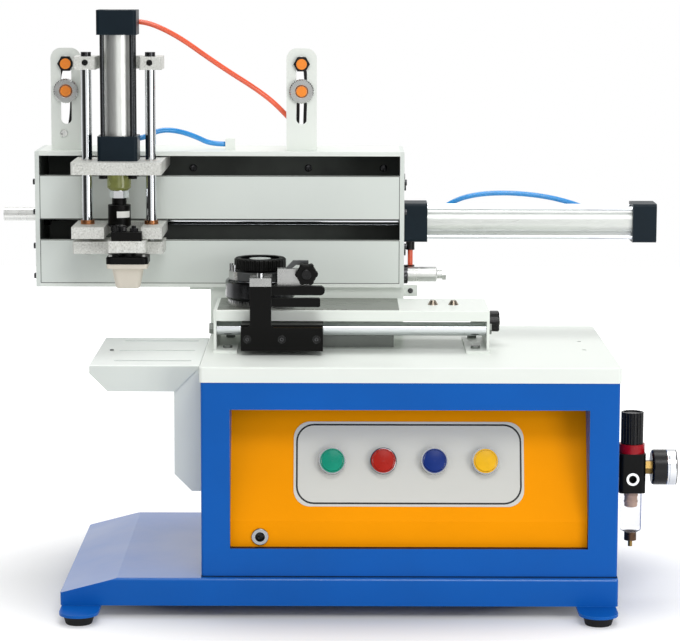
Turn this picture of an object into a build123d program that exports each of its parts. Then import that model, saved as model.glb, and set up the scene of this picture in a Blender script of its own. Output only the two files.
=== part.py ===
from build123d import *
import os
from math import atan, cos, degrees, pi, radians, sin, tan

os.makedirs("parts", exist_ok=True)

# Pneumatic pad printing machine with a sealed ink cup, in millimetres.
# X runs to the right seen from the front, Y to the back and Z up.
# The origin is on the table, under the middle of the whole machine.

# Feet and base
foot_height = 10.0
foot_top_radius = 17.0
foot_bottom_radius = 14.0
foot_edge = 1.5
stud_radius = 3.0
stud_depth = 6.0
bar_thickness = 3.0
bar_width = 42.0
bar_reach = 212.0
bar_left_x = -267.0
bar_right_x = 287.0
base_length = 600.0
base_depth = 333.0
base_height = 30.0
base_x = 10.5
base_sheet = 2.0
base_bend = 3.0
ramp_run = 61.0
ramp_drop = 16.0

# Cabinet, its lid and its rear panel
cabinet_length = 448.0
cabinet_depth = 317.0
cabinet_height = 227.3
cabinet_inset = 0.5
cabinet_sheet = 2.0
cabinet_bend = 3.0
cabinet_flange = 18.0
lid_sheet = 1.2
lid_skirt = 16.5
lid_clearance = 0.3
lid_bend = 1.5
lid_hole_radius = 2.75
lid_hole_pitch = 64.0
lid_hole_inset = 27.0
lid_hole_y = 2.0
rear_panel_sheet = 1.5
rear_panel_lap = 8.0
rear_top_margin = 35.0
vent_length = 60.0
vent_width = 5.0
vent_pitch = 12.0
vent_rows = 5
vent_column_pitch = 150.0
panel_screw_radius = 4.0
panel_screw_height = 2.2

# Window and inclined control panel
window_x = 85.5
window_width = 385.0
window_height = 151.5
window_rise = 31.0
panel_recess = 10.0
panel_strip = 28.0
panel_tilt = 18.5
panel_sheet = 1.5
panel_margin = 10.0
label_width = 249.0
label_height = 92.5
label_corner = 18.0
label_thickness = 0.8
label_rise = 87.0
button_lift = 2.6
button_pitch = 55.2
button_count = 4
button_hole_radius = 11.15
bezel_radius = 14.5
bezel_height = 8.0
bezel_floor = 2.0
bezel_edge = 1.6
barrel_radius = 11.0
barrel_length = 20.0
cap_radius = 11.4
cap_gap = 0.3
cap_thickness = 4.0
cap_dome = 1.2
cap_stem_radius = 6.0
cap_stem_length = 12.0
button_travel = 3.0
button_nut_radius = 15.0
button_nut_height = 4.0
contact_width = 24.0
contact_height = 30.0
contact_depth = 28.0
socket_x = -75.0
socket_rise = 11.0
socket_flange_radius = 9.2
socket_flange = 2.2
socket_barrel_radius = 7.0
socket_bore_radius = 5.4
socket_length = 14.0
socket_pin_radius = 1.1
socket_pin_circle = 3.0

# Work tray
tray_length = 120.0
tray_depth = 205.0
tray_gap = 4.0
tray_y = -1.0
tray_drop = 7.0
tray_sheet = 2.0
tray_flange = 29.0
tray_left_cut = 20.0
tray_right_cut = 27.0
slot_length = 86.0
slot_width = 6.0
slot_pitch = 73.7
slot_shift = 7.0
bracket_width = 32.0
bracket_drop = 137.5
bracket_cut = 19.0
bracket_sheet = 2.0

# Printing bed
bed_left = -129.0
bed_length = 305.0
bed_depth = 106.0
bed_height = 11.6
bed_rise = 46.5
bed_sheet = 2.0
support_sheet = 3.0
support_foot = 26.0
support_foot_front = 62.0
support_hole_inset = 12.0
support_hole_y = 40.0
support_hole_radius = 2.6
riser_gap = 2.0
riser_length = 172.0
riser_width = 25.0
riser_height = 12.5
plate_length = 201.0
plate_depth = 96.0
plate_thickness = 0.8
plate_inset = 1.0
cone_x = (115.0, 138.0)
cone_radius = 6.0
cone_tip_radius = 3.0
cone_height = 5.0
guide_radius = 7.5
guide_neck_radius = 4.0
guide_drop = 22.0
guide_y = -38.0
guide_nut = 11.0
guide_nut_height = 5.4
bed_knob_y = 8.0
bed_knob_drop = 19.5
bed_knob_gap = 2.0
bed_spindle_radius = 4.0
bed_spindle_length = 18.0

# Ink cup and its carriage
running_gap = 0.05
cup_x = -79.0
cup_radius = 39.0
cup_gap = 0.2
cup_height = 28.8
cup_edge = 4.0
cup_foot_radius = 36.0
cup_foot_height = 5.0
cup_cavity_radius = 32.0
cup_cavity_depth = 16.0
ring_radius = 36.0
ring_width = 3.0
ring_height = 1.0
neck_radius = 20.0
yoke_thickness = 9.0
yoke_radius = 35.0
knurl_radius = 29.0
knurl_height = 12.0
knurl_gap = 2.0
knurl_teeth = 36
knurl_tooth = 1.1
hub_radius = 12.0
hub_height = 2.0
dish_radius = 22.0
dish_depth = 3.0
arm_width = 23.4
arm_left = -88.0
arm_thickness = 4.0
arm_front = -78.0
arm_foot_left = -98.0
arm_foot_margin = 7.0
arm_foot_height = 26.0
arm_foot_drop = 15.5
arm_fillet = 4.0
arm_screw_pitch = 38.0
arm_screw_radius = 2.5
arm_screw_head = 4.4
screw_head_depth = 1.9
arm_screw_length = 10.0
block_depth = 52.0
block_height = 25.0
block_clearance = 1.2
block_chamfer = 1.0
bar_inset = 2.0
bar_length = 75.0
bar_height = 10.0
bar_depth = 9.0
strip_gap = 3.0
strip_depth = 5.0
strip_corner = 2.0
yoke_arm_width = 14.0
lug_length = 40.0
lug_depth = 12.0
lug_height = 18.0
knob_rise = 13.2
lug_front = -66.0
lug_left = -58.0
lug_chamfer = 3.0
knob_inset = 8.0
knob_chamfer = 1.2
lug_lever_y = -63.0
lever_run = 8.5
lever_rise = 9.0
knob_radius = 12.5
knob_thickness = 12.0
knob_lobes = 6
knob_lobe_radius = 3.4
knob_gap = 0.5
cup_spindle_radius = 3.0
lever_thickness = 5.0
post_circle = 32.5
post_angle = 180.0
post_radius = 2.2
post_height = 7.5
front_screw_radius = 4.0
front_screw_height = 5.0
knurl_chamfer = 1.5

# Head frame
head_left = -339.0
head_length = 423.0
head_front = 71.5
head_depth = 98.5
head_height = 156.0
head_rise = 56.5
end_plate = 5.0
front_plate = 3.0
casing_sheet = 2.0
casing_lip = 5.0
bottom_lip = 4.0
lower_plate_height = 50.7
upper_plate_height = 50.5
middle_slot = 23.3
pedestal_left = -139.0
pedestal_length = 223.0
pedestal_front = 78.0
pedestal_depth = 80.0
pedestal_bend = 4.0
pedestal_tab = 24.0
pedestal_tab_thickness = 4.0
rail_radius = 10.0
rail_y = 121.0
lower_rail_z = 366.0
upper_rail_z = 442.0
stop_radius = 8.0
stop_z = 407.0
stop_reach = 42.0
stop_nut = 24.0
stop_nut_height = 7.0
stop_gap = 0.5
absorber_z = 340.0
absorber_y = 100.0
absorber_radius = 8.75
absorber_reach = 34.0
absorber_neck = 6.0
absorber_neck_radius = 5.2
absorber_hex = 12.0
absorber_hex_length = 4.5
absorber_plunger = 3.0
absorber_body = 70.0
absorber_nut = 22.0
absorber_nut_height = 5.0
absorber_chamfer = 1.2
screw_edge = 8.0
head_screw_radius = 3.4
head_screw_height = 3.0
rail_screw_radius = 6.5
rail_screw_height = 3.0

# Horizontal cylinder
bore_radius = 16.0
tube_wall = 1.5
cap_side = 45.0
cap_length = 27.5
cap_corner = 4.0
nose_boss_radius = 15.0
tie_spread = 16.5
tie_radius = 2.5
tie_nut = 4.0
tie_nut_height = 3.0
rod_radius = 6.0
piston_length = 15.0
piston_gap = 0.5
x_barrel = 238.0
x_axis_z = 400.0
x_piston_start = 28.0
head_travel = 180.0
rod_socket = 20.0

# Carriage with the vertical cylinder
axis_x = -239.0
axis_y = 31.5
block_length = 80.0
block_front = 90.0
block_back = 150.0
block_bottom = 333.0
carriage_plate_width = 101.0
upper_plate_front = -10.0
upper_plate_back = 140.0
upper_plate_thickness = 14.0
upper_plate_drop = 20.5
guide_plate_bottom = 392.0
guide_plate_thickness = 13.0
guide_plate_front = -8.0
guide_notch_width = 41.3
guide_notch_shift = 6.65
guide_notch_depth = 60.0
rod_spread = 36.0
pad_rod_radius = 6.0
bush_radius = 7.2
bush_flange_radius = 7.9
bush_flange = 2.5
lower_bush_flange = 4.5
nose_radius = 13.5
nose_length = 20.0
nose_neck_radius = 11.0
nose_chamfer = 3.0
plate_chamfer = 1.5
nose_clearance = 0.6
cylinder_screw_radius = 5.0
cylinder_screw_height = 6.0
z_barrel = 113.0

# Pad unit
clamp_bar_length = 99.0
clamp_bar_front = 19.0
clamp_bar_back = 66.0
clamp_bar_height = 14.5
clamp_bar_top = 593.5
clamp_notch_width = 49.0
clamp_web = 12.0
clamp_screw_radius = 5.8
clamp_screw_height = 5.0
pad_plate_width = 102.0
pad_plate_front = 8.0
pad_plate_back = 56.0
pad_plate_bottom = 373.4
pad_plate_thickness = 13.6
coupler_nut = 19.0
coupler_nut_length = 8.0
coupler_neck_radius = 8.2
coupler_neck_length = 8.0
coupler_radius = 12.8
coupler_length = 23.5
coupler_taper = 4.5
coupler_stud_radius = 7.0
pad_x = -227.0
pad_y = 0.0
holder_width = 42.0
holder_front = -22.0
holder_back = 22.0
holder_bottom = 378.0
tongue_thickness = 4.0
clamp_block_y = -15.5
clamp_block_width = 34.0
clamp_block_depth = 13.0
clamp_block_height = 10.0
holder_screw_spread = 9.0
holder_screw_y = 14.0
holder_screw_radius = 4.5
holder_screw_height = 6.0
stem_radius = 9.0
stem_y = -6.0
mount_width = 47.0
mount_depth = 40.0
mount_corner = 6.0
mount_edge = 2.5
mount_bottom = 364.8
mount_thickness = 8.4
pad_flange_width = 45.5
pad_flange_depth = 38.5
pad_flange = 5.0
pad_root_width = 35.0
pad_root_depth = 31.0
pad_face_width = 26.5
pad_face_depth = 23.0
pad_edge = 2.5
pad_height = 28.0
pad_corner = 6.0

# Position sensors
sensor_bracket_x = (-304.0, -34.0)
sensor_bracket_width = 35.0
sensor_bracket_height = 117.0
sensor_bracket_sheet = 3.0
sensor_bracket_corner = 12.0
sensor_bracket_y = 91.0
sensor_foot = 22.0
sensor_slot_width = 12.3
sensor_slot_bottom = 30.0
sensor_slot_top = 108.0
sensor_rise = (68.0, 99.0)
sensor_radius = 6.0
sensor_length = 34.0
sensor_front = 7.0
sensor_nut = (24.0, 16.5)
sensor_nut_height = 4.0

# Air preparation on the right side
regulator_x = 332.5
regulator_y = -78.0
regulator_width = 29.0
regulator_bottom = 121.5
regulator_height = 43.5
regulator_corner = 5.0
collar_radius = 14.2
collar_height = 10.0
regulator_knob_radius = 12.3
regulator_knob_height = 35.0
regulator_knob_ribs = 20
knob_groove_radius = 1.2
regulator_stem_radius = 5.0
regulator_stem = 12.0
bowl_radius = 11.8
bowl_height = 45.0
bowl_edge = 4.0
drain_radius = 6.8
drain_height = 10.0
nipple_radius = 2.4
nipple_height = 7.0
port_radius = 4.4
port_rim_radius = 7.0
port_rim = 1.5
port_depth = 10.0
port_rise = 16.0
bracket_plate_width = 26.0
bracket_plate_height = 18.0
gauge_radius = 19.5
gauge_rise = 27.0
gauge_hex = 14.0
gauge_hex_length = 7.0
gauge_edge = 3.0
gauge_reach = 381.0
gauge_rim = 2.0
gauge_rim_depth = 3.0

# Air tubes
hose_radius = 3.0
fitting_radius = 5.5
fitting_reach = 8.0
port_shift = 6.0
bottom_port_drop = 5.5
elbow_length = 14.0
bulkhead_length = 11.0
blue_port_drop = 5.0
left_port_inset = 8.5
orange_drop = 18.0
cover_elbow_height = 13.0

# Levels and edges that several pieces share
base_bottom = foot_height + bar_thickness
base_top = base_bottom + base_height
base_left = base_x - base_length / 2
base_right = base_x + base_length / 2
foot_y = bar_reach - bar_width / 2
foot_spots = [(x, y) for x in (bar_left_x, bar_right_x) for y in (-foot_y, foot_y)]
cabinet_right = base_right - cabinet_inset
cabinet_left = cabinet_right - cabinet_length
cabinet_x = cabinet_right - cabinet_length / 2
cabinet_front = -cabinet_depth / 2
cabinet_rear = cabinet_depth / 2
cabinet_top = base_top + cabinet_height
lid_top = cabinet_top + lid_sheet
window_bottom = base_top + window_rise
window_top = window_bottom + window_height
lean = radians(panel_tilt)
panel_front = cabinet_front + panel_recess
panel_bend_z = window_bottom + panel_strip


def panel_y(z):
    """Front surface of the inclined part of the panel at height z."""
    return panel_front + (z - panel_bend_z) * tan(lean)


# Feet and base
with BuildPart() as rubber_feet:
    with BuildSketch(Plane.XY):
        with Locations(*foot_spots):
            Circle(foot_bottom_radius)
    foot_taper = degrees(atan((foot_top_radius - foot_bottom_radius) / foot_height))
    extrude(amount=foot_height, taper=-foot_taper)
    fillet(rubber_feet.edges().group_by(Axis.Z)[0], foot_edge)
    with BuildSketch(Plane.XY.offset(foot_height)):
        with Locations(*foot_spots):
            Circle(stud_radius)
    extrude(amount=-stud_depth, mode=Mode.SUBTRACT)
rubber_feet.part.label = "rubber_feet"
export_step(rubber_feet.part, "parts/rubber_feet.step")

with BuildPart() as base_frame:
    with BuildSketch(Plane.XZ):
        with BuildLine():
            Polyline(
                (base_left, base_bottom),
                (base_right, base_bottom),
                (base_right, base_top),
                (base_left + ramp_run, base_top),
                (base_left, base_top - ramp_drop),
                close=True,
            )
        make_face()
    extrude(amount=base_depth / 2, both=True)
    upright = base_frame.edges().filter_by(Axis.Z)
    along = base_frame.edges().filter_by(Axis.X).group_by(Axis.Z)[-1]
    fillet(upright + along, base_bend)
    offset(amount=-base_sheet, openings=base_frame.faces().sort_by(Axis.Z)[0])
    with BuildSketch(Plane.XY.offset(foot_height)):
        with Locations((bar_left_x, 0), (bar_right_x, 0)):
            SlotOverall(2 * bar_reach, bar_width, rotation=90)
    extrude(amount=bar_thickness)
    with BuildSketch(Plane.XY.offset(foot_height - stud_depth)):
        with Locations(*foot_spots):
            Circle(stud_radius)
    extrude(amount=stud_depth)
base_frame.part.label = "base_frame"
export_step(base_frame.part, "parts/base_frame.step")

# Cabinet: a folded box, open at the back, with a deep window frame in front
front_window = Plane(origin=(window_x, cabinet_front, 0), x_dir=(1, 0, 0), z_dir=(0, -1, 0))
frame_outline = [
    (cabinet_front + cabinet_sheet, window_bottom - cabinet_sheet),
    (panel_front, window_bottom - cabinet_sheet),
    (panel_front, panel_bend_z),
    (panel_y(window_top + cabinet_sheet), window_top + cabinet_sheet),
    (cabinet_front + cabinet_sheet, window_top + cabinet_sheet),
]
frame_hollow = [
    (cabinet_front - cabinet_sheet, window_bottom),
    (panel_front, window_bottom),
    (panel_front, panel_bend_z),
    (panel_y(window_top), window_top),
    (cabinet_front - cabinet_sheet, window_top),
]
rear_opening_height = cabinet_height - cabinet_flange - rear_top_margin
rear_opening_z = base_top + cabinet_flange + rear_opening_height / 2
rear_plane = Plane(origin=(cabinet_x, cabinet_rear, rear_opening_z), x_dir=(-1, 0, 0), z_dir=(0, 1, 0))

with BuildPart() as cabinet_shell:
    with BuildSketch(Plane.XY.offset(base_top)):
        with Locations((cabinet_x, 0)):
            RectangleRounded(cabinet_length, cabinet_depth, cabinet_bend)
    extrude(amount=cabinet_height)
    with BuildSketch(Plane.XY.offset(base_top + cabinet_sheet)):
        with Locations((cabinet_x, 0)):
            RectangleRounded(
                cabinet_length - 2 * cabinet_sheet,
                cabinet_depth - 2 * cabinet_sheet,
                cabinet_bend - cabinet_sheet,
            )
    extrude(amount=cabinet_height - 2 * cabinet_sheet, mode=Mode.SUBTRACT)
    with BuildSketch(Plane.XY.offset(base_top)):
        with Locations((cabinet_x, 0)):
            Rectangle(cabinet_length - 2 * cabinet_flange, cabinet_depth - 2 * cabinet_flange)
    extrude(amount=cabinet_height, mode=Mode.SUBTRACT)
    with BuildSketch(rear_plane):
        Rectangle(cabinet_length - 2 * cabinet_flange, rear_opening_height)
    extrude(amount=-cabinet_sheet, mode=Mode.SUBTRACT)
    with BuildSketch(Plane.YZ.offset(window_x)):
        Polygon(*frame_outline, align=None)
    extrude(amount=window_width / 2 + cabinet_sheet, both=True)
    with BuildSketch(Plane.YZ.offset(window_x)):
        Polygon(*frame_hollow, align=None)
    extrude(amount=window_width / 2, both=True, mode=Mode.SUBTRACT)
cabinet_shell.part.label = "cabinet_shell"
export_step(cabinet_shell.part, "parts/cabinet_shell.step")

vent_spots = [
    ((column - 0.5) * vent_column_pitch, (row - (vent_rows - 1) / 2) * vent_pitch)
    for column in (0, 1)
    for row in range(vent_rows)
]
rear_panel_width = cabinet_length - 2 * cabinet_flange + 2 * rear_panel_lap
rear_panel_height = rear_opening_height + 2 * rear_panel_lap
rear_screw_x = rear_panel_width / 2 - rear_panel_lap / 2
rear_screw_z = rear_panel_height / 2 - rear_panel_lap / 2

with BuildPart() as rear_panel:
    with BuildSketch(rear_plane):
        RectangleRounded(rear_panel_width, rear_panel_height, cabinet_bend)
        with Locations(*vent_spots):
            SlotOverall(vent_length, vent_width, mode=Mode.SUBTRACT)
    extrude(amount=rear_panel_sheet)
    with BuildSketch(rear_plane.offset(rear_panel_sheet)):
        with GridLocations(2 * rear_screw_x, 2 * rear_screw_z, 2, 2):
            Circle(panel_screw_radius)
    extrude(amount=panel_screw_height, taper=20)
rear_panel.part.label = "rear_panel"
export_step(rear_panel.part, "parts/rear_panel.step")

lid_length = cabinet_length + 2 * (lid_clearance + lid_sheet)
lid_depth = cabinet_depth + 2 * (lid_clearance + lid_sheet)
bed_top_z = lid_top + bed_rise
support_left = bed_left
support_right = bed_left + bed_length
support_holes = [
    (x, y)
    for x in (
        support_left + support_sheet + support_hole_inset,
        support_right - support_sheet - support_hole_inset,
    )
    for y in (-support_hole_y, support_hole_y)
]

with BuildPart() as cabinet_lid:
    with BuildSketch(Plane.XY.offset(lid_top - lid_skirt)):
        with Locations((cabinet_x, 0)):
            RectangleRounded(lid_length, lid_depth, cabinet_bend + lid_sheet)
    extrude(amount=lid_skirt)
    fillet(cabinet_lid.faces().sort_by(Axis.Z)[-1].edges(), lid_bend)
    with BuildSketch(Plane.XY.offset(lid_top - lid_skirt)):
        with Locations((cabinet_x, 0)):
            RectangleRounded(
                cabinet_length + 2 * lid_clearance,
                cabinet_depth + 2 * lid_clearance,
                cabinet_bend,
            )
    extrude(amount=lid_skirt - lid_sheet, mode=Mode.SUBTRACT)
    with Locations((cabinet_right - lid_hole_inset, lid_hole_y, lid_top)):
        with GridLocations(0, lid_hole_pitch, 1, 2):
            Hole(lid_hole_radius, depth=lid_sheet)
    with Locations((0, 0, lid_top)):
        with Locations(*support_holes):
            Hole(support_hole_radius, depth=lid_sheet)
cabinet_lid.part.label = "cabinet_lid"
export_step(cabinet_lid.part, "parts/cabinet_lid.step")

# Inclined control panel with its label plate, buttons and pedal socket
panel_low = window_bottom - cabinet_sheet
panel_high = window_top + cabinet_sheet
label_z = base_top + label_rise + window_rise
label_plane = Plane(
    origin=(window_x, panel_y(label_z), label_z),
    x_dir=(1, 0, 0),
    z_dir=(0, -cos(lean), sin(lean)),
)
button_x = [(i - (button_count - 1) / 2) * button_pitch for i in range(button_count)]
button_spots = [(x, button_lift) for x in button_x]
socket_plane = Plane(
    origin=(socket_x, panel_front, window_bottom + socket_rise),
    x_dir=(1, 0, 0),
    z_dir=(0, -1, 0),
)

with BuildPart() as control_panel:
    with BuildSketch(Plane.YZ.offset(window_x)):
        with BuildLine():
            Polyline(
                (panel_front, panel_low),
                (panel_front, panel_bend_z),
                (panel_y(panel_high), panel_high),
                (panel_y(panel_high) + panel_sheet / cos(lean), panel_high),
                (panel_front + panel_sheet, panel_bend_z - panel_sheet * tan(lean / 2)),
                (panel_front + panel_sheet, panel_low),
                close=True,
            )
        make_face()
    extrude(amount=window_width / 2 + panel_margin, both=True)
    with BuildSketch(label_plane):
        with Locations(*button_spots):
            Circle(button_hole_radius)
    extrude(amount=-2 * panel_sheet, mode=Mode.SUBTRACT)
    with BuildSketch(socket_plane):
        Circle(socket_barrel_radius)
    extrude(amount=-2 * panel_sheet, mode=Mode.SUBTRACT)
control_panel.part.label = "control_panel"
export_step(control_panel.part, "parts/control_panel.step")

with BuildPart() as label_plate:
    with BuildSketch(label_plane):
        RectangleRounded(label_width, label_height, label_corner)
        with Locations(*button_spots):
            Circle(button_hole_radius, mode=Mode.SUBTRACT)
    extrude(amount=label_thickness)
label_plate.part.label = "label_plate"
export_step(label_plate.part, "parts/label_plate.step")

bezel_plane = label_plane.offset(label_thickness)
nut_plane = label_plane.offset(-panel_sheet)

with BuildPart() as button_bodies:
    with BuildSketch(bezel_plane):
        with Locations(*button_spots):
            Circle(bezel_radius)
    extrude(amount=bezel_height)
    fillet(button_bodies.faces().sort_by(Axis(bezel_plane.origin, bezel_plane.z_dir))[-1].edges(), bezel_edge)
    with BuildSketch(bezel_plane.offset(bezel_floor)):
        with Locations(*button_spots):
            Circle(cap_radius + cap_gap)
    extrude(amount=bezel_height, mode=Mode.SUBTRACT)
    with BuildSketch(bezel_plane):
        with Locations(*button_spots):
            Circle(barrel_radius)
    extrude(amount=-barrel_length)
    with BuildSketch(bezel_plane.offset(bezel_floor)):
        with Locations(*button_spots):
            Circle(cap_stem_radius + cap_gap)
    extrude(amount=-barrel_length - bezel_floor, mode=Mode.SUBTRACT)
    with BuildSketch(nut_plane):
        with Locations(*button_spots):
            Circle(button_nut_radius)
            Circle(barrel_radius, mode=Mode.SUBTRACT)
    extrude(amount=-button_nut_height)
    with BuildSketch(bezel_plane.offset(-barrel_length)):
        with Locations(*button_spots):
            Rectangle(contact_width, contact_height)
    extrude(amount=-contact_depth)
button_bodies.part.label = "button_bodies"
export_step(button_bodies.part, "parts/button_bodies.step")

cap_bottom = bezel_floor + button_travel + cap_gap


def button_cap(x):
    """One push button cap with its guide stem, for the button at x on the label plane."""
    cap_plane = Plane(
        origin=bezel_plane.from_local_coords((x, button_lift, cap_bottom)),
        x_dir=(1, 0, 0),
        z_dir=bezel_plane.z_dir,
    )
    with BuildPart() as cap:
        with BuildSketch(Plane(origin=cap_plane.origin, x_dir=(1, 0, 0), z_dir=-cap_plane.y_dir)):
            with BuildLine():
                Polyline(
                    (0, cap_thickness + cap_dome),
                    (0, -cap_stem_length),
                    (cap_stem_radius, -cap_stem_length),
                    (cap_stem_radius, 0),
                    (cap_radius, 0),
                    (cap_radius, cap_thickness),
                )
                TangentArc((0, cap_thickness + cap_dome), (cap_radius, cap_thickness), tangent=(1, 0))
            make_face()
        revolve(axis=Axis(cap_plane.origin, cap_plane.z_dir))
    return cap.part


button_green = button_cap(button_x[0])
button_green.label = "button_green"
export_step(button_green, "parts/button_green.step")
button_red = button_cap(button_x[1])
button_red.label = "button_red"
export_step(button_red, "parts/button_red.step")
button_blue = button_cap(button_x[2])
button_blue.label = "button_blue"
export_step(button_blue, "parts/button_blue.step")
button_yellow = button_cap(button_x[3])
button_yellow.label = "button_yellow"
export_step(button_yellow, "parts/button_yellow.step")

with BuildPart() as pedal_socket:
    with BuildSketch(socket_plane):
        Circle(socket_flange_radius)
    extrude(amount=socket_flange)
    fillet(pedal_socket.faces().sort_by(Axis.Y)[0].edges(), socket_flange / 3)
    with BuildSketch(socket_plane):
        Circle(socket_barrel_radius)
    extrude(amount=-socket_length)
    with BuildSketch(socket_plane.offset(socket_flange)):
        Circle(socket_bore_radius)
    extrude(amount=-socket_flange - socket_length / 2, mode=Mode.SUBTRACT)
    with BuildSketch(socket_plane.offset(-socket_length / 2)):
        with PolarLocations(socket_pin_circle, 3):
            Circle(socket_pin_radius)
    extrude(amount=socket_length / 4)
pedal_socket.part.label = "pedal_socket"
export_step(pedal_socket.part, "parts/pedal_socket.step")

# Slotted work tray on its channel bracket at the left
tray_top = lid_top - tray_drop
tray_right = cabinet_left - tray_gap
tray_left = tray_right - tray_length
tray_x = tray_right - tray_length / 2
tray_front = tray_y - tray_depth / 2
tray_face = Plane(origin=(0, tray_front, 0), x_dir=(1, 0, 0), z_dir=(0, -1, 0))
bracket_left = cabinet_left - bracket_width
bracket_bottom = tray_top - tray_sheet - bracket_drop
bracket_front = tray_front + tray_sheet
bracket_back = tray_y + tray_depth / 2 - tray_sheet

with BuildPart() as work_tray:
    with BuildSketch(Plane.XY.offset(tray_top - tray_sheet)):
        with Locations((tray_x, tray_y)):
            Rectangle(tray_length, tray_depth)
        with Locations((tray_x + slot_shift, tray_y + 4)):
            with GridLocations(0, slot_pitch, 1, 3):
                SlotOverall(slot_length, slot_width, mode=Mode.SUBTRACT)
    extrude(amount=tray_sheet)
    with BuildSketch(tray_face):
        with BuildLine():
            Polyline(
                (tray_left, tray_top),
                (tray_right, tray_top),
                (tray_right, tray_top - tray_flange + tray_right_cut),
                (tray_right - tray_right_cut, tray_top - tray_flange),
                (tray_left + tray_left_cut, tray_top - tray_flange),
                (tray_left, tray_top - tray_flange + tray_left_cut),
                close=True,
            )
        make_face()
    extrude(amount=-tray_sheet)
    fillet(work_tray.edges().filter_by(Axis.X).group_by(Axis.Z)[-1].sort_by(Axis.Y)[0], tray_sheet * 0.9)
work_tray.part.label = "work_tray"
export_step(work_tray.part, "parts/work_tray.step")

with BuildPart() as tray_bracket:
    with BuildSketch(Plane.XZ.offset(-bracket_front)):
        with BuildLine():
            Polyline(
                (cabinet_left, bracket_bottom),
                (cabinet_left, tray_top - tray_sheet),
                (bracket_left, tray_top - tray_sheet),
                (bracket_left, bracket_bottom + bracket_cut),
                (bracket_left + bracket_cut, bracket_bottom),
                close=True,
            )
        make_face()
    extrude(amount=bracket_front - bracket_back)
    with BuildSketch(Plane.XY.offset(bracket_bottom)):
        with Locations(((bracket_left + cabinet_left - bracket_sheet) / 2, (bracket_front + bracket_back) / 2)):
            Rectangle(bracket_width - bracket_sheet, bracket_back - bracket_front - 2 * bracket_sheet)
    extrude(amount=bracket_drop, mode=Mode.SUBTRACT)
    with BuildSketch(Plane.XY.offset(lid_top - lid_skirt - bracket_sheet)):
        with Locations((cabinet_left - bracket_sheet / 2, tray_y)):
            Rectangle(bracket_sheet, bracket_back - bracket_front)
    extrude(amount=lid_skirt, mode=Mode.SUBTRACT)
tray_bracket.part.label = "tray_bracket"
export_step(tray_bracket.part, "parts/tray_bracket.step")

# Printing bed on its end brackets
bed_x = bed_left + bed_length / 2
guide_z = bed_top_z - guide_drop
bed_knob_z = bed_top_z - bed_knob_drop
bed_holes = Plane(origin=(bed_left, 0, 0), x_dir=(0, 1, 0), z_dir=(1, 0, 0))
bed_inside = bed_length - 2 * support_sheet
support_depth = bed_depth - 2 * bed_sheet

with BuildPart() as bed_top:
    with BuildSketch(Plane.XY.offset(bed_top_z - bed_height)):
        with Locations((bed_x, 0)):
            Rectangle(bed_inside, bed_depth)
    extrude(amount=bed_height)
    fillet(bed_top.edges().filter_by(Axis.X).group_by(Axis.Z)[-1], bed_sheet * 0.6)
    with BuildSketch(Plane.XY.offset(bed_top_z - bed_height)):
        with Locations((bed_x, 0)):
            Rectangle(bed_inside, bed_depth - 2 * bed_sheet)
    extrude(amount=bed_height - bed_sheet, mode=Mode.SUBTRACT)
    with Locations(*[(x, 0, bed_top_z) for x in cone_x]):
        Hole(cone_tip_radius, depth=bed_sheet)
bed_top.part.label = "bed_top"
export_step(bed_top.part, "parts/bed_top.step")

foot_length = support_depth / 2 + support_foot_front
foot_middle = (support_depth / 2 - support_foot_front) / 2

with BuildPart() as bed_supports:
    with BuildSketch(bed_holes):
        with Locations((0, (lid_top + bed_top_z) / 2)):
            Rectangle(support_depth, bed_rise)
    extrude(amount=support_sheet)
    with BuildSketch(bed_holes.offset(bed_length)):
        with Locations((0, (lid_top + bed_top_z) / 2)):
            Rectangle(support_depth, bed_rise)
    extrude(amount=-support_sheet)
    with BuildSketch(Plane.XY.offset(lid_top)):
        with Locations(
            (support_left + support_foot / 2, foot_middle),
            (support_right - support_foot / 2, foot_middle),
        ):
            Rectangle(support_foot, foot_length)
        with Locations(*support_holes):
            Circle(support_hole_radius, mode=Mode.SUBTRACT)
    extrude(amount=support_sheet)
    with BuildSketch(bed_holes):
        with Locations((guide_y, guide_z)):
            Circle(guide_neck_radius)
    extrude(amount=bed_length, mode=Mode.SUBTRACT)
    with BuildSketch(bed_holes.offset(bed_length / 2)):
        with Locations((bed_knob_y, bed_knob_z)):
            Circle(bed_spindle_radius + running_gap)
    extrude(amount=bed_length / 2, mode=Mode.SUBTRACT)
    with BuildSketch(Plane.XY.offset(lid_top)):
        with Locations((support_left + support_foot + riser_gap + riser_length / 2, 0)):
            Rectangle(riser_length, riser_width)
    extrude(amount=riser_height)
bed_supports.part.label = "bed_supports"
export_step(bed_supports.part, "parts/bed_supports.step")

with BuildPart() as printing_plate:
    with BuildSketch(Plane.XY.offset(bed_top_z)):
        with Locations((bed_left + support_sheet + plate_inset + plate_length / 2, 0)):
            RectangleRounded(plate_length, plate_depth, 2)
    extrude(amount=plate_thickness)
printing_plate.part.label = "printing_plate"
export_step(printing_plate.part, "parts/printing_plate.step")

with BuildPart() as guide_rod:
    with BuildSketch(bed_holes):
        with Locations((guide_y, guide_z)):
            Circle(guide_neck_radius)
    extrude(amount=bed_length)
    with BuildSketch(bed_holes.offset(support_sheet)):
        with Locations((guide_y, guide_z)):
            Circle(guide_radius)
    extrude(amount=bed_inside)
guide_rod.part.label = "guide_rod"
export_step(guide_rod.part, "parts/guide_rod.step")

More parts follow.
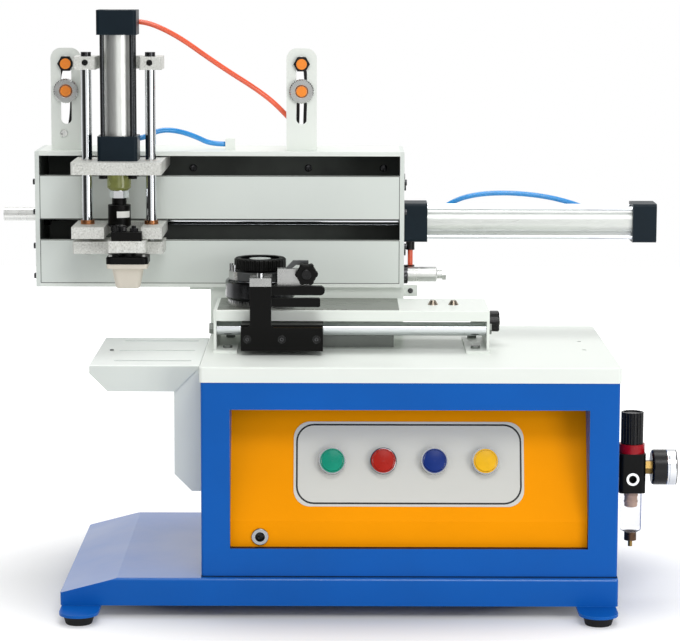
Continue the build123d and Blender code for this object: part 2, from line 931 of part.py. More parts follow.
with BuildPart() as bed_screws:
    for x in cone_x:
        with BuildSketch(Plane.XY.offset(bed_top_z)):
            with Locations((x, 0)):
                Circle(cone_radius)
        extrude(amount=cone_height, taper=degrees(atan((cone_radius - cone_tip_radius) / cone_height)))
        with BuildSketch(Plane.XY.offset(bed_top_z)):
            with Locations((x, 0)):
                Circle(cone_tip_radius)
        extrude(amount=-bed_sheet)
    with BuildSketch(bed_holes):
        with Locations((guide_y, guide_z)):
            RegularPolygon(guide_nut / 2, 6, major_radius=False)
    extrude(amount=-guide_nut_height)
    with BuildSketch(bed_holes.offset(bed_length)):
        with Locations((guide_y, guide_z)):
            RegularPolygon(guide_nut / 2, 6, major_radius=False)
    extrude(amount=guide_nut_height / 2)
    with BuildSketch(Plane.XY.offset(lid_top + support_sheet)):
        with Locations(*support_holes):
            RegularPolygon(2 * support_hole_radius, 6)
    extrude(amount=support_sheet)
    with BuildSketch(Plane.XY.offset(lid_top - lid_sheet)):
        with Locations(*support_holes):
            Circle(support_hole_radius)
    extrude(amount=lid_sheet + support_sheet)
bed_screws.part.label = "bed_screws"
export_step(bed_screws.part, "parts/bed_screws.step")

# Slide block, front arm, yoke and ink cup: they travel together along the guide rod
cup_bottom = bed_top_z + plate_thickness + cup_gap
yoke_bottom = cup_bottom + cup_height
yoke_top = yoke_bottom + yoke_thickness
arm_back = arm_front + arm_thickness
arm_right = arm_left + arm_width
arm_foot_top = bed_top_z - arm_foot_drop
arm_foot_bottom = arm_foot_top - arm_foot_height
arm_foot_length = 2 * (arm_screw_pitch + arm_foot_margin)
arm_foot_right = arm_foot_left + arm_foot_length
arm_foot_x = arm_foot_left + arm_foot_length / 2
arm_screw_z = arm_foot_bottom + arm_foot_height / 2
arm_screw_spots = [(arm_foot_x + i * arm_screw_pitch, arm_screw_z) for i in (-1, 0, 1)]
arm_face = Plane(origin=(0, arm_front, 0), x_dir=(1, 0, 0), z_dir=(0, -1, 0))
arm_rear_face = arm_face.offset(-arm_thickness)
block_top = bed_top_z - bed_height - block_clearance
lug_right = lug_left + lug_length
lug_back = lug_front + lug_depth
knob_x = lug_right - knob_inset
knob_z = yoke_bottom + knob_rise

with BuildPart() as slide_block:
    with BuildSketch(Plane.XY.offset(block_top)):
        with Locations((arm_foot_x, arm_back + block_depth / 2)):
            Rectangle(arm_foot_length, block_depth)
    extrude(amount=-block_height)
    chamfer(slide_block.edges().filter_by(Axis.Z), block_chamfer)
    with BuildSketch(bed_holes):
        with Locations((guide_y, guide_z)):
            Circle(guide_radius + running_gap)
    extrude(amount=bed_length, mode=Mode.SUBTRACT)
    with BuildSketch(arm_rear_face):
        with Locations(*arm_screw_spots):
            Circle(arm_screw_radius)
    extrude(amount=-arm_screw_length, mode=Mode.SUBTRACT)
slide_block.part.label = "slide_block"
export_step(slide_block.part, "parts/slide_block.step")

with BuildPart() as cup_arm:
    with BuildSketch(arm_face):
        with BuildLine():
            Polyline(
                (arm_foot_left, arm_foot_bottom),
                (arm_foot_right, arm_foot_bottom),
                (arm_foot_right, arm_foot_top),
                (arm_right, arm_foot_top),
                (arm_right, yoke_bottom),
                (arm_left, yoke_bottom),
                (arm_left, arm_foot_top),
                (arm_foot_left, arm_foot_top),
                close=True,
            )
        make_face()
        inner = [v for v in vertices() if abs(v.Y - arm_foot_top) < 0.1 and arm_left - 1 < v.X < arm_right + 1]
        fillet(inner, arm_fillet)
    extrude(amount=-arm_thickness)
    with Locations(arm_face):
        with Locations(*arm_screw_spots):
            CounterSinkHole(arm_screw_radius, arm_screw_head, depth=arm_thickness, counter_sink_angle=90)
    with BuildSketch(arm_rear_face):
        with BuildLine():
            Polyline(
                (arm_left + bar_inset, yoke_bottom - bar_height),
                (arm_left + bar_inset + bar_length, yoke_bottom - bar_height),
            )
            ThreePointArc(
                (arm_left + bar_inset + bar_length, yoke_bottom - bar_height),
                (arm_left + bar_inset + bar_length + bar_height / 2, yoke_bottom - bar_height / 2),
                (arm_left + bar_inset + bar_length, yoke_bottom),
            )
            Polyline(
                (arm_left + bar_inset + bar_length, yoke_bottom),
                (arm_left + bar_inset, yoke_bottom),
                (arm_left + bar_inset, yoke_bottom - bar_height),
            )
        make_face()
    extrude(amount=-bar_depth)
    with BuildSketch(arm_rear_face):
        with Locations((arm_left + bar_inset + bar_length / 2, yoke_bottom - 1.5 * bar_height - strip_gap)):
            RectangleRounded(bar_length, bar_height, strip_corner)
    extrude(amount=-strip_depth)
cup_arm.part.label = "cup_arm"
export_step(cup_arm.part, "parts/cup_arm.step")

with BuildPart() as cup_yoke:
    with BuildSketch(Plane.XY.offset(yoke_bottom)):
        with Locations((cup_x, 0)):
            Circle(yoke_radius)
        with Locations(((arm_left + arm_right) / 2, arm_front / 2)):
            Rectangle(arm_width, -arm_front)
        with Locations((lug_left + yoke_arm_width / 2, lug_front / 2)):
            Rectangle(yoke_arm_width, -lug_front)
        with Locations((cup_x, 0)):
            Circle(neck_radius, mode=Mode.SUBTRACT)
    extrude(amount=yoke_thickness)
    with BuildSketch(Plane.XY.offset(yoke_bottom)):
        with Locations(((lug_left + lug_right) / 2, (lug_front + lug_back) / 2)):
            Rectangle(lug_length, lug_depth)
    extrude(amount=lug_height)
    with BuildSketch(Plane.XZ.offset(-lug_front)):
        with Locations((knob_x, knob_z)):
            Circle(cup_spindle_radius + running_gap)
    extrude(amount=-lug_depth, mode=Mode.SUBTRACT)
    chamfer(cup_yoke.faces().sort_by(Axis.X)[-1].edges().filter_by(Axis.Y), lug_chamfer)
cup_yoke.part.label = "cup_yoke"
export_step(cup_yoke.part, "parts/cup_yoke.step")

ring_top = cup_bottom + ring_height
with BuildPart() as ink_cup:
    with BuildSketch(Plane.XZ):
        with BuildLine():
            Polyline(
                (0, yoke_top),
                (0, ring_top + cup_cavity_depth),
                (cup_cavity_radius, ring_top + cup_cavity_depth),
                (cup_cavity_radius, ring_top),
                (cup_foot_radius, ring_top),
                (cup_foot_radius, ring_top + cup_foot_height),
                (cup_radius, ring_top + cup_foot_height + cup_radius - cup_foot_radius),
                (cup_radius, yoke_bottom - cup_edge),
            )
            RadiusArc((cup_radius, yoke_bottom - cup_edge), (cup_radius - cup_edge, yoke_bottom), -cup_edge)
            Polyline(
                (cup_radius - cup_edge, yoke_bottom),
                (neck_radius, yoke_bottom),
                (neck_radius, yoke_top),
                (0, yoke_top),
            )
        make_face()
    revolve(axis=Axis.Z)
ink_cup_solid = ink_cup.part.moved(Location((cup_x, 0, 0)))
with BuildPart() as doctor_ring:
    with BuildSketch(Plane.XY.offset(cup_bottom)):
        with Locations((cup_x, 0)):
            Circle(ring_radius)
            Circle(ring_radius - ring_width, mode=Mode.SUBTRACT)
    extrude(amount=ring_height)
ink_cup_node = Compound(children=[ink_cup_solid, doctor_ring.part], label="ink_cup")
export_step(ink_cup_node, "parts/ink_cup.step")

with BuildPart() as cup_cap:
    with BuildSketch(Plane.XY.offset(yoke_top)):
        with Locations((cup_x, 0)):
            Circle(neck_radius)
    extrude(amount=knurl_gap)
    with BuildSketch(Plane.XY.offset(yoke_top + knurl_gap)):
        with Locations((cup_x, 0)):
            Circle(knurl_radius)
    extrude(amount=knurl_height)
    chamfer(cup_cap.faces().sort_by(Axis.Z)[-1].edges(), knurl_chamfer)
    with BuildSketch(Plane.XY.offset(yoke_top + knurl_gap + knurl_height)):
        with Locations((cup_x, 0)):
            Circle(dish_radius)
    extrude(amount=-dish_depth, mode=Mode.SUBTRACT)
    with BuildSketch(Plane.XY.offset(yoke_top + knurl_gap)):
        with Locations((cup_x, 0)):
            with PolarLocations(knurl_radius, knurl_teeth):
                Circle(knurl_tooth)
    extrude(amount=knurl_height, mode=Mode.SUBTRACT)
cup_cap.part.label = "cup_cap"
export_step(cup_cap.part, "parts/cup_cap.step")

with BuildPart() as cup_fittings:
    with BuildSketch(Plane.XY.offset(yoke_top)):
        with Locations((cup_x, 0)):
            with PolarLocations(post_circle, 2, start_angle=post_angle, angular_range=60):
                Circle(post_radius)
    extrude(amount=post_height)
    with BuildSketch(Plane.XY.offset(yoke_top)):
        with Locations(((arm_left + arm_right) / 2, arm_front + 2 * front_screw_radius)):
            Circle(front_screw_radius)
    extrude(amount=front_screw_height)
    with BuildSketch(Plane.XY.offset(yoke_top + knurl_gap + knurl_height - dish_depth)):
        with Locations((cup_x, 0)):
            Circle(hub_radius)
    extrude(amount=hub_height)
    with BuildSketch(arm_face.offset(-screw_head_depth)):
        with Locations(*arm_screw_spots):
            Circle(arm_screw_radius)
    extrude(amount=screw_head_depth - arm_thickness - arm_screw_length)
    with BuildSketch(arm_face):
        with Locations(*arm_screw_spots):
            Circle(arm_screw_head)
    extrude(amount=-screw_head_depth, taper=45)
    with BuildSketch(Plane.XZ.offset(-lug_lever_y)):
        with BuildLine():
            Polyline(
                (lug_left + lever_run, yoke_bottom + lug_height),
                (lug_left + 2 * lever_run, yoke_bottom + lug_height + lever_rise),
                (lug_left + 4 * lever_run, yoke_bottom + lug_height + lever_rise),
                (lug_left + 4 * lever_run, yoke_bottom + lug_height + lever_rise - lever_thickness),
                (lug_left + 2.4 * lever_run, yoke_bottom + lug_height + lever_rise - lever_thickness),
                (lug_left + 1.8 * lever_run, yoke_bottom + lug_height),
                close=True,
            )
        make_face()
    extrude(amount=-lever_thickness)
cup_fittings.part.label = "cup_fittings"
export_step(cup_fittings.part, "parts/cup_fittings.step")


def star_knob(face, spindle_radius, spindle_length, gap):
    """Lobed clamping knob standing on a face, with its spindle running into it."""
    with BuildPart() as knob:
        with BuildSketch(face.offset(gap)):
            Circle(knob_radius - knob_lobe_radius / 2)
            with PolarLocations(knob_radius - knob_lobe_radius, knob_lobes):
                Circle(knob_lobe_radius)
        extrude(amount=knob_thickness)
        outer = knob.faces().sort_by(Axis(face.origin, face.z_dir))[-1]
        chamfer(outer.edges(), knob_chamfer)
        with BuildSketch(face.offset(gap)):
            Circle(spindle_radius)
        extrude(amount=-spindle_length - gap)
    return knob.part


cup_knob_face = Plane(origin=(knob_x, lug_front, knob_z), x_dir=(1, 0, 0), z_dir=(0, -1, 0))
cup_knob = star_knob(cup_knob_face, cup_spindle_radius, lug_depth, knob_gap)
cup_knob.label = "cup_knob"
export_step(cup_knob, "parts/cup_knob.step")

bed_knob_face = Plane(origin=(support_right, bed_knob_y, bed_knob_z), x_dir=(0, 1, 0), z_dir=(1, 0, 0))
bed_knob = star_knob(bed_knob_face, bed_spindle_radius, bed_spindle_length, bed_knob_gap)
bed_knob.label = "bed_knob"
export_step(bed_knob, "parts/bed_knob.step")

# Head frame: two end plates, two front plates and a folded casing on a pedestal
head_bottom = lid_top + head_rise
head_top = head_bottom + head_height
head_right = head_left + head_length
head_back = head_front + head_depth
head_inner_left = head_left + end_plate
head_inner_right = head_right - end_plate
head_inside = head_length - 2 * end_plate
lower_plate_bottom = head_bottom + bottom_lip
upper_plate_bottom = lower_plate_bottom + lower_plate_height + middle_slot
head_section = Plane(origin=(head_left, 0, 0), x_dir=(0, 1, 0), z_dir=(1, 0, 0))
right_face = Plane(origin=(head_right, 0, 0), x_dir=(0, 1, 0), z_dir=(1, 0, 0))
rail_spots = [(rail_y, lower_rail_z), (rail_y, upper_rail_z)]
head_screw_spots = [
    (head_front + screw_edge, lower_plate_bottom + screw_edge),
    (head_front + screw_edge, lower_plate_bottom + lower_plate_height - screw_edge),
    (head_front + screw_edge, upper_plate_bottom + screw_edge),
    (head_front + screw_edge, upper_plate_bottom + upper_plate_height - screw_edge),
    (head_back - screw_edge, lower_plate_bottom + screw_edge),
    (head_back - screw_edge, upper_plate_bottom + upper_plate_height - screw_edge),
]

with BuildPart() as head_end_plates:
    with BuildSketch(head_section):
        with Locations((head_front + head_depth / 2, head_bottom + head_height / 2)):
            Rectangle(head_depth, head_height)
        with Locations((rail_y, stop_z)):
            Circle(stop_radius, mode=Mode.SUBTRACT)
    extrude(amount=end_plate)
    with BuildSketch(head_section.offset(head_length)):
        with Locations((head_front + head_depth / 2, head_bottom + head_height / 2)):
            Rectangle(head_depth, head_height)
        with Locations((rail_y, x_axis_z)):
            Circle(nose_boss_radius, mode=Mode.SUBTRACT)
        with Locations((absorber_y, absorber_z)):
            Circle(absorber_radius, mode=Mode.SUBTRACT)
    extrude(amount=-end_plate)
head_end_plates.part.label = "head_end_plates"
export_step(head_end_plates.part, "parts/head_end_plates.step")

with BuildPart() as head_front_plates:
    with BuildSketch(head_section.offset(end_plate)):
        with Locations((head_front + front_plate / 2, lower_plate_bottom + lower_plate_height / 2)):
            Rectangle(front_plate, lower_plate_height)
        with Locations((head_front + front_plate / 2, upper_plate_bottom + upper_plate_height / 2)):
            Rectangle(front_plate, upper_plate_height)
    extrude(amount=head_inside)
    fillet(head_front_plates.faces().sort_by(Axis.Y)[0].edges().filter_by(Axis.X), front_plate / 3)
head_front_plates.part.label = "head_front_plates"
export_step(head_front_plates.part, "parts/head_front_plates.step")

with BuildPart() as head_casing:
    with BuildSketch(head_section.offset(end_plate)):
        with BuildLine():
            Polyline(
                (head_front, head_top - casing_lip),
                (head_front, head_top),
                (head_back, head_top),
                (head_back, head_bottom),
                (head_front, head_bottom),
                (head_front, head_bottom + bottom_lip),
                (head_front + casing_sheet, head_bottom + bottom_lip),
                (head_front + casing_sheet, head_bottom + casing_sheet),
                (head_back - casing_sheet, head_bottom + casing_sheet),
                (head_back - casing_sheet, head_top - casing_sheet),
                (head_front + casing_sheet, head_top - casing_sheet),
                (head_front + casing_sheet, head_top - casing_lip),
                close=True,
            )
        make_face()
    extrude(amount=head_inside)
head_casing.part.label = "head_casing"
export_step(head_casing.part, "parts/head_casing.step")

with BuildPart() as carriage_rails:
    with BuildSketch(head_section.offset(end_plate)):
        with Locations(*rail_spots):
            Circle(rail_radius)
    extrude(amount=head_inside)
carriage_rails.part.label = "carriage_rails"
export_step(carriage_rails.part, "parts/carriage_rails.step")

block_left = axis_x - block_length / 2
block_right = axis_x + block_length / 2
stop_tip = block_left - stop_gap
absorber_tip = block_right + head_travel + stop_gap

with BuildPart() as end_stops:
    with BuildSketch(head_section.offset(-stop_reach)):
        with Locations((rail_y, stop_z)):
            Circle(stop_radius)
    extrude(amount=stop_tip - head_left + stop_reach)
    with BuildSketch(head_section.offset(end_plate)):
        with Locations((rail_y, stop_z)):
            RegularPolygon(stop_nut / 2, 6, major_radius=False)
    extrude(amount=stop_nut_height)
    with BuildSketch(right_face.offset(absorber_reach + absorber_nut_height)):
        with Locations((absorber_y, absorber_z)):
            Circle(absorber_radius)
    extrude(amount=-absorber_reach - absorber_nut_height - absorber_body)
    chamfer(end_stops.faces().sort_by(Axis.X)[-1].edges(), absorber_chamfer)
    with BuildSketch(right_face):
        with Locations((absorber_y, absorber_z)):
            Circle(absorber_nut / 2)
    extrude(amount=absorber_nut_height)
    with BuildSketch(right_face.offset(absorber_reach + absorber_nut_height)):
        with Locations((absorber_y, absorber_z)):
            Circle(absorber_neck_radius)
    extrude(amount=absorber_neck)
    with BuildSketch(right_face.offset(absorber_reach + absorber_nut_height + absorber_neck)):
        with Locations((absorber_y, absorber_z)):
            RegularPolygon(absorber_hex / 2, 6, major_radius=False)
    extrude(amount=absorber_hex_length)
    with BuildSketch(Plane(origin=(absorber_tip, 0, 0), x_dir=(0, 1, 0), z_dir=(1, 0, 0))):
        with Locations((absorber_y, absorber_z)):
            Circle(absorber_plunger)
    extrude(amount=head_right - absorber_body - absorber_tip)
    for face, outward in ((head_section, -1), (right_face, 1)):
        with BuildSketch(face):
            with Locations(*rail_spots):
                Circle(rail_screw_radius)
        extrude(amount=outward * rail_screw_height)
        with BuildSketch(face):
            with Locations(*head_screw_spots):
                Circle(head_screw_radius)
        extrude(amount=outward * head_screw_height)
end_stops.part.label = "end_stops"
export_step(end_stops.part, "parts/end_stops.step")

with BuildPart() as pedestal:
    with BuildSketch(Plane.XY.offset(lid_top)):
        with Locations((pedestal_left + pedestal_length / 2, pedestal_front + pedestal_depth / 2)):
            RectangleRounded(pedestal_length, pedestal_depth, pedestal_bend)
    extrude(amount=head_rise)
    with BuildSketch(Plane.XY.offset(head_bottom)):
        with Locations((pedestal_left, pedestal_front + pedestal_depth / 2)):
            Rectangle(2 * pedestal_tab, pedestal_depth - 2 * pedestal_bend)
    extrude(amount=-pedestal_tab_thickness)
pedestal.part.label = "pedestal"
export_step(pedestal.part, "parts/pedestal.step")

# Horizontal cylinder that drives the head carriage
tie_spots = [(x, y) for x in (-tie_spread, tie_spread) for y in (-tie_spread, tie_spread)]
x_axis = Plane(origin=(head_right, rail_y, x_axis_z), x_dir=(0, 1, 0), z_dir=(1, 0, 0))
x_total = x_barrel + 2 * cap_length
port_plane_x = Plane(origin=(0, rail_y + cap_side / 2, x_axis_z), x_dir=(1, 0, 0), z_dir=(0, 1, 0))

with BuildPart() as x_cylinder_caps:
    with BuildSketch(x_axis):
        RectangleRounded(cap_side, cap_side, cap_corner)
        Circle(rod_radius + running_gap, mode=Mode.SUBTRACT)
    extrude(amount=cap_length)
    with BuildSketch(x_axis):
        Circle(nose_boss_radius)
        Circle(rod_radius + running_gap, mode=Mode.SUBTRACT)
    extrude(amount=-end_plate)
    with BuildSketch(x_axis.offset(x_total)):
        RectangleRounded(cap_side, cap_side, cap_corner)
    extrude(amount=-cap_length)
    with BuildSketch(x_axis.offset(x_total)):
        with Locations(*tie_spots):
            Circle(tie_nut)
    extrude(amount=-tie_nut_height, mode=Mode.SUBTRACT)
x_cylinder_caps.part.label = "x_cylinder_caps"
export_step(x_cylinder_caps.part, "parts/x_cylinder_caps.step")

with BuildPart() as x_cylinder_barrel:
    with BuildSketch(x_axis.offset(cap_length)):
        Circle(bore_radius + tube_wall)
        Circle(bore_radius, mode=Mode.SUBTRACT)
        with Locations(*tie_spots):
            Circle(tie_radius)
    extrude(amount=x_barrel)
    with BuildSketch(x_axis.offset(x_total - tie_nut_height)):
        with Locations(*tie_spots):
            RegularPolygon(tie_nut, 6)
    extrude(amount=tie_nut_height * 0.8)
x_cylinder_barrel.part.label = "x_cylinder_barrel"
export_step(x_cylinder_barrel.part, "parts/x_cylinder_barrel.step")

# Carriage that rides on the two rails and carries the vertical cylinder
upper_plate_bottom_z = head_top - upper_plate_drop
upper_plate_top_z = upper_plate_bottom_z + upper_plate_thickness
guide_plate_top = guide_plate_bottom + guide_plate_thickness
rod_spots = [(axis_x - rod_spread, axis_y), (axis_x + rod_spread, axis_y)]
block_front_plane = Plane(origin=(block_left, 0, 0), x_dir=(0, 1, 0), z_dir=(1, 0, 0))

with BuildPart() as carriage_block:
    with BuildSketch(block_front_plane):
        with Locations(((block_front + block_back) / 2, (block_bottom + upper_plate_bottom_z) / 2)):
            Rectangle(block_back - block_front, upper_plate_bottom_z - block_bottom)
        with Locations(*rail_spots):
            Circle(rail_radius + running_gap, mode=Mode.SUBTRACT)
    extrude(amount=block_length)
    with BuildSketch(block_front_plane.offset(block_length)):
        with Locations((rail_y, x_axis_z)):
            Circle(rod_radius)
    extrude(amount=-rod_socket, mode=Mode.SUBTRACT)
carriage_block.part.label = "carriage_block"
export_step(carriage_block.part, "parts/carriage_block.step")

with BuildPart() as carriage_plates:
    with BuildSketch(Plane.XY.offset(upper_plate_bottom_z)):
        with Locations((axis_x, (upper_plate_front + upper_plate_back) / 2)):
            Rectangle(carriage_plate_width, upper_plate_back - upper_plate_front)
        with Locations(*rod_spots):
            Circle(bush_radius, mode=Mode.SUBTRACT)
        with Locations((axis_x, axis_y)):
            Circle(nose_neck_radius, mode=Mode.SUBTRACT)
    extrude(amount=upper_plate_thickness)
    with BuildSketch(Plane.XY.offset(guide_plate_bottom)):
        with Locations((axis_x, (guide_plate_front + block_front) / 2)):
            Rectangle(carriage_plate_width, block_front - guide_plate_front)
        with Locations((axis_x + guide_notch_shift, guide_plate_front + guide_notch_depth / 2)):
            Rectangle(guide_notch_width, guide_notch_depth, mode=Mode.SUBTRACT)
        with Locations(*rod_spots):
            Circle(bush_radius, mode=Mode.SUBTRACT)
    extrude(amount=guide_plate_thickness)
    chamfer(carriage_plates.edges().filter_by(Axis.Z).group_by(Axis.Y)[0], plate_chamfer)
carriage_plates.part.label = "carriage_plates"
export_step(carriage_plates.part, "parts/carriage_plates.step")

nose_bottom = upper_plate_bottom_z - nose_length
with BuildPart() as carriage_bushings:
    with BuildSketch(Plane.XY.offset(upper_plate_bottom_z)):
        with Locations(*rod_spots):
            Circle(bush_radius)
    extrude(amount=upper_plate_thickness)
    with BuildSketch(Plane.XY.offset(upper_plate_bottom_z)):
        with Locations(*rod_spots):
            Circle(bush_flange_radius)
    extrude(amount=-bush_flange)
    with BuildSketch(Plane.XY.offset(guide_plate_bottom)):
        with Locations(*rod_spots):
            Circle(bush_radius)
    extrude(amount=guide_plate_thickness)
    with BuildSketch(Plane.XY.offset(guide_plate_top)):
        with Locations(*rod_spots):
            Circle(bush_flange_radius)
    extrude(amount=lower_bush_flange)
    with BuildSketch(Plane.XY.offset(guide_plate_bottom)):
        with Locations(*rod_spots):
            Circle(pad_rod_radius + running_gap)
    extrude(amount=head_height, mode=Mode.SUBTRACT)
    with BuildSketch(Plane.XY.offset(upper_plate_bottom_z)):
        with Locations((axis_x, axis_y)):
            Circle(nose_radius)
    extrude(amount=-nose_length)
    nose_edge = [e for e in carriage_bushings.edges() if abs(e.center().Z - nose_bottom) < 0.1]
    chamfer(nose_edge, nose_chamfer)
    with BuildSketch(Plane.XY.offset(upper_plate_bottom_z)):
        with Locations((axis_x, axis_y)):
            Circle(nose_neck_radius)
    extrude(amount=upper_plate_thickness)
    with BuildSketch(Plane.XY.offset(nose_bottom)):
        with Locations((axis_x, axis_y)):
            Circle(rod_radius + running_gap)
    extrude(amount=nose_length + upper_plate_thickness, mode=Mode.SUBTRACT)
    with BuildSketch(Plane.XY.offset(upper_plate_bottom_z)):
        with Locations(*[(axis_x + x, axis_y + y) for x, y in tie_spots]):
            Circle(cylinder_screw_radius)
    extrude(amount=-cylinder_screw_height)
carriage_bushings.part.label = "carriage_bushings"
export_step(carriage_bushings.part, "parts/carriage_bushings.step")

# Vertical cylinder on the carriage
z_base = Plane(origin=(axis_x, axis_y, upper_plate_top_z), x_dir=(1, 0, 0), z_dir=(0, 0, 1))
z_total = z_barrel + 2 * cap_length
z_rear = axis_y + cap_side / 2
z_top_port = upper_plate_top_z + z_total - cap_length / 2
z_bottom_port = upper_plate_top_z + cap_length - bottom_port_drop

with BuildPart() as z_cylinder_caps:
    with BuildSketch(z_base):
        RectangleRounded(cap_side, cap_side, cap_corner)
        Circle(rod_radius + running_gap, mode=Mode.SUBTRACT)
    extrude(amount=cap_length)
    with BuildSketch(z_base.offset(z_total)):
        RectangleRounded(cap_side, cap_side, cap_corner)
    extrude(amount=-cap_length)
    with BuildSketch(z_base.offset(z_total)):
        with Locations(*tie_spots):
            Circle(tie_nut)
    extrude(amount=-tie_nut_height, mode=Mode.SUBTRACT)
    for port_z in (z_bottom_port, z_top_port):
        with BuildSketch(Plane(origin=(axis_x + port_shift, z_rear, port_z), x_dir=(1, 0, 0), z_dir=(0, 1, 0))):
            Circle(fitting_radius - 1)
        extrude(amount=fitting_reach)
        elbow = Plane(origin=(axis_x + port_shift, z_rear + fitting_reach, port_z), x_dir=(0, 1, 0), z_dir=(1, 0, 0))
        with BuildSketch(elbow.offset(-fitting_radius)):
            Circle(fitting_radius - 0.8)
        extrude(amount=elbow_length)
z_cylinder_caps.part.label = "z_cylinder_caps"
export_step(z_cylinder_caps.part, "parts/z_cylinder_caps.step")

with BuildPart() as z_cylinder_barrel:
    with BuildSketch(z_base.offset(cap_length)):
        Circle(bore_radius + tube_wall)
        Circle(bore_radius, mode=Mode.SUBTRACT)
        with Locations(*tie_spots):
            Circle(tie_radius)
    extrude(amount=z_barrel)
    with BuildSketch(z_base.offset(z_total - tie_nut_height)):
        with Locations(*tie_spots):
            RegularPolygon(tie_nut, 6)
    extrude(amount=tie_nut_height * 0.8)
z_cylinder_barrel.part.label = "z_cylinder_barrel"
export_step(z_cylinder_barrel.part, "parts/z_cylinder_barrel.step")

x_piston_left = head_right + x_piston_start
with BuildPart() as x_piston_rod:
    with BuildSketch(Plane(origin=(block_right - rod_socket, rail_y, x_axis_z), x_dir=(0, 1, 0), z_dir=(1, 0, 0))):
        Circle(rod_radius)
    extrude(amount=x_piston_left - block_right + rod_socket)
    with BuildSketch(Plane(origin=(x_piston_left, rail_y, x_axis_z), x_dir=(0, 1, 0), z_dir=(1, 0, 0))):
        Circle(bore_radius - running_gap)
    extrude(amount=piston_length)
x_piston_rod.part.label = "x_piston_rod"
export_step(x_piston_rod.part, "parts/x_piston_rod.step")

# Pad unit: everything the vertical cylinder moves
pad_plate_top = pad_plate_bottom + pad_plate_thickness
clamp_bar_bottom = clamp_bar_top - clamp_bar_height
coupler_top = nose_bottom - nose_clearance
nut_bottom = coupler_top - coupler_nut_length
neck_bottom = nut_bottom - coupler_neck_length
coupler_bottom = neck_bottom - coupler_length
stud_top = coupler_bottom - coupler_taper
z_piston_top = upper_plate_top_z + cap_length + z_barrel - piston_gap

with BuildPart() as pad_guide_rods:
    with BuildSketch(Plane.XY.offset(pad_plate_top)):
        with Locations(*rod_spots):
            Circle(pad_rod_radius)
    extrude(amount=clamp_bar_top - pad_plate_top)
pad_guide_rods.part.label = "pad_guide_rods"
export_step(pad_guide_rods.part, "parts/pad_guide_rods.step")

clamp_y = (clamp_bar_front + clamp_bar_back) / 2
with BuildPart() as rod_clamp_bar:
    with BuildSketch(Plane.XY.offset(clamp_bar_bottom)):
        with Locations((axis_x, clamp_y)):
            Rectangle(clamp_bar_length, clamp_bar_back - clamp_bar_front)
        with Locations((axis_x, clamp_y - clamp_web / 2)):
            Rectangle(clamp_notch_width, clamp_bar_back - clamp_bar_front - clamp_web, mode=Mode.SUBTRACT)
        with Locations(*rod_spots):
            Circle(pad_rod_radius, mode=Mode.SUBTRACT)
    extrude(amount=clamp_bar_height)
    chamfer(rod_clamp_bar.edges().filter_by(Axis.Z).group_by(Axis.Y)[0], plate_chamfer)
    with BuildSketch(Plane.XY.offset(clamp_bar_top)):
        with Locations(*rod_spots):
            Circle(clamp_screw_radius)
    extrude(amount=clamp_screw_height)
    with BuildSketch(Plane.XY.offset(pad_plate_bottom)):
        with Locations(*rod_spots):
            Circle(clamp_screw_radius - 1)
    extrude(amount=-clamp_screw_height / 2)
rod_clamp_bar.part.label = "rod_clamp_bar"
export_step(rod_clamp_bar.part, "parts/rod_clamp_bar.step")

holder_top = pad_plate_top + tongue_thickness
with BuildPart() as pad_plate:
    with BuildSketch(Plane.XY.offset(pad_plate_bottom)):
        with Locations((axis_x, (pad_plate_front + pad_plate_back) / 2)):
            Rectangle(pad_plate_width, pad_plate_back - pad_plate_front)
    extrude(amount=pad_plate_thickness)
    chamfer(pad_plate.edges().filter_by(Axis.Z).group_by(Axis.Y)[0], plate_chamfer)

with BuildPart() as pad_holder:
    with BuildSketch(Plane.XY.offset(holder_bottom)):
        with Locations((pad_x, (holder_front + pad_plate_front) / 2)):
            Rectangle(holder_width, pad_plate_front - holder_front)
    extrude(amount=holder_top - holder_bottom)
    with BuildSketch(Plane.XY.offset(pad_plate_top)):
        with Locations((pad_x, (pad_plate_front + holder_back) / 2)):
            Rectangle(holder_width, holder_back - pad_plate_front)
    extrude(amount=tongue_thickness)
    chamfer(pad_holder.edges().filter_by(Axis.Z).group_by(Axis.Y)[0], plate_chamfer)
pad_plate_node = Compound(children=[pad_plate.part, pad_holder.part], label="pad_plate")
export_step(pad_plate_node, "parts/pad_plate.step")

with BuildPart() as z_piston_rod:
    with BuildSketch(Plane.XY.offset(neck_bottom)):
        with Locations((axis_x, axis_y)):
            Circle(rod_radius)
    extrude(amount=z_piston_top - neck_bottom)
    with BuildSketch(Plane.XY.offset(z_piston_top)):
        with Locations((axis_x, axis_y)):
            Circle(bore_radius - running_gap)
    extrude(amount=-piston_length)
    with BuildSketch(Plane.XY.offset(nut_bottom)):
        with Locations((axis_x, axis_y)):
            RegularPolygon(coupler_nut / 2, 6, major_radius=False)
    extrude(amount=coupler_nut_length)
z_piston_rod.part.label = "z_piston_rod"
export_step(z_piston_rod.part, "parts/z_piston_rod.step")

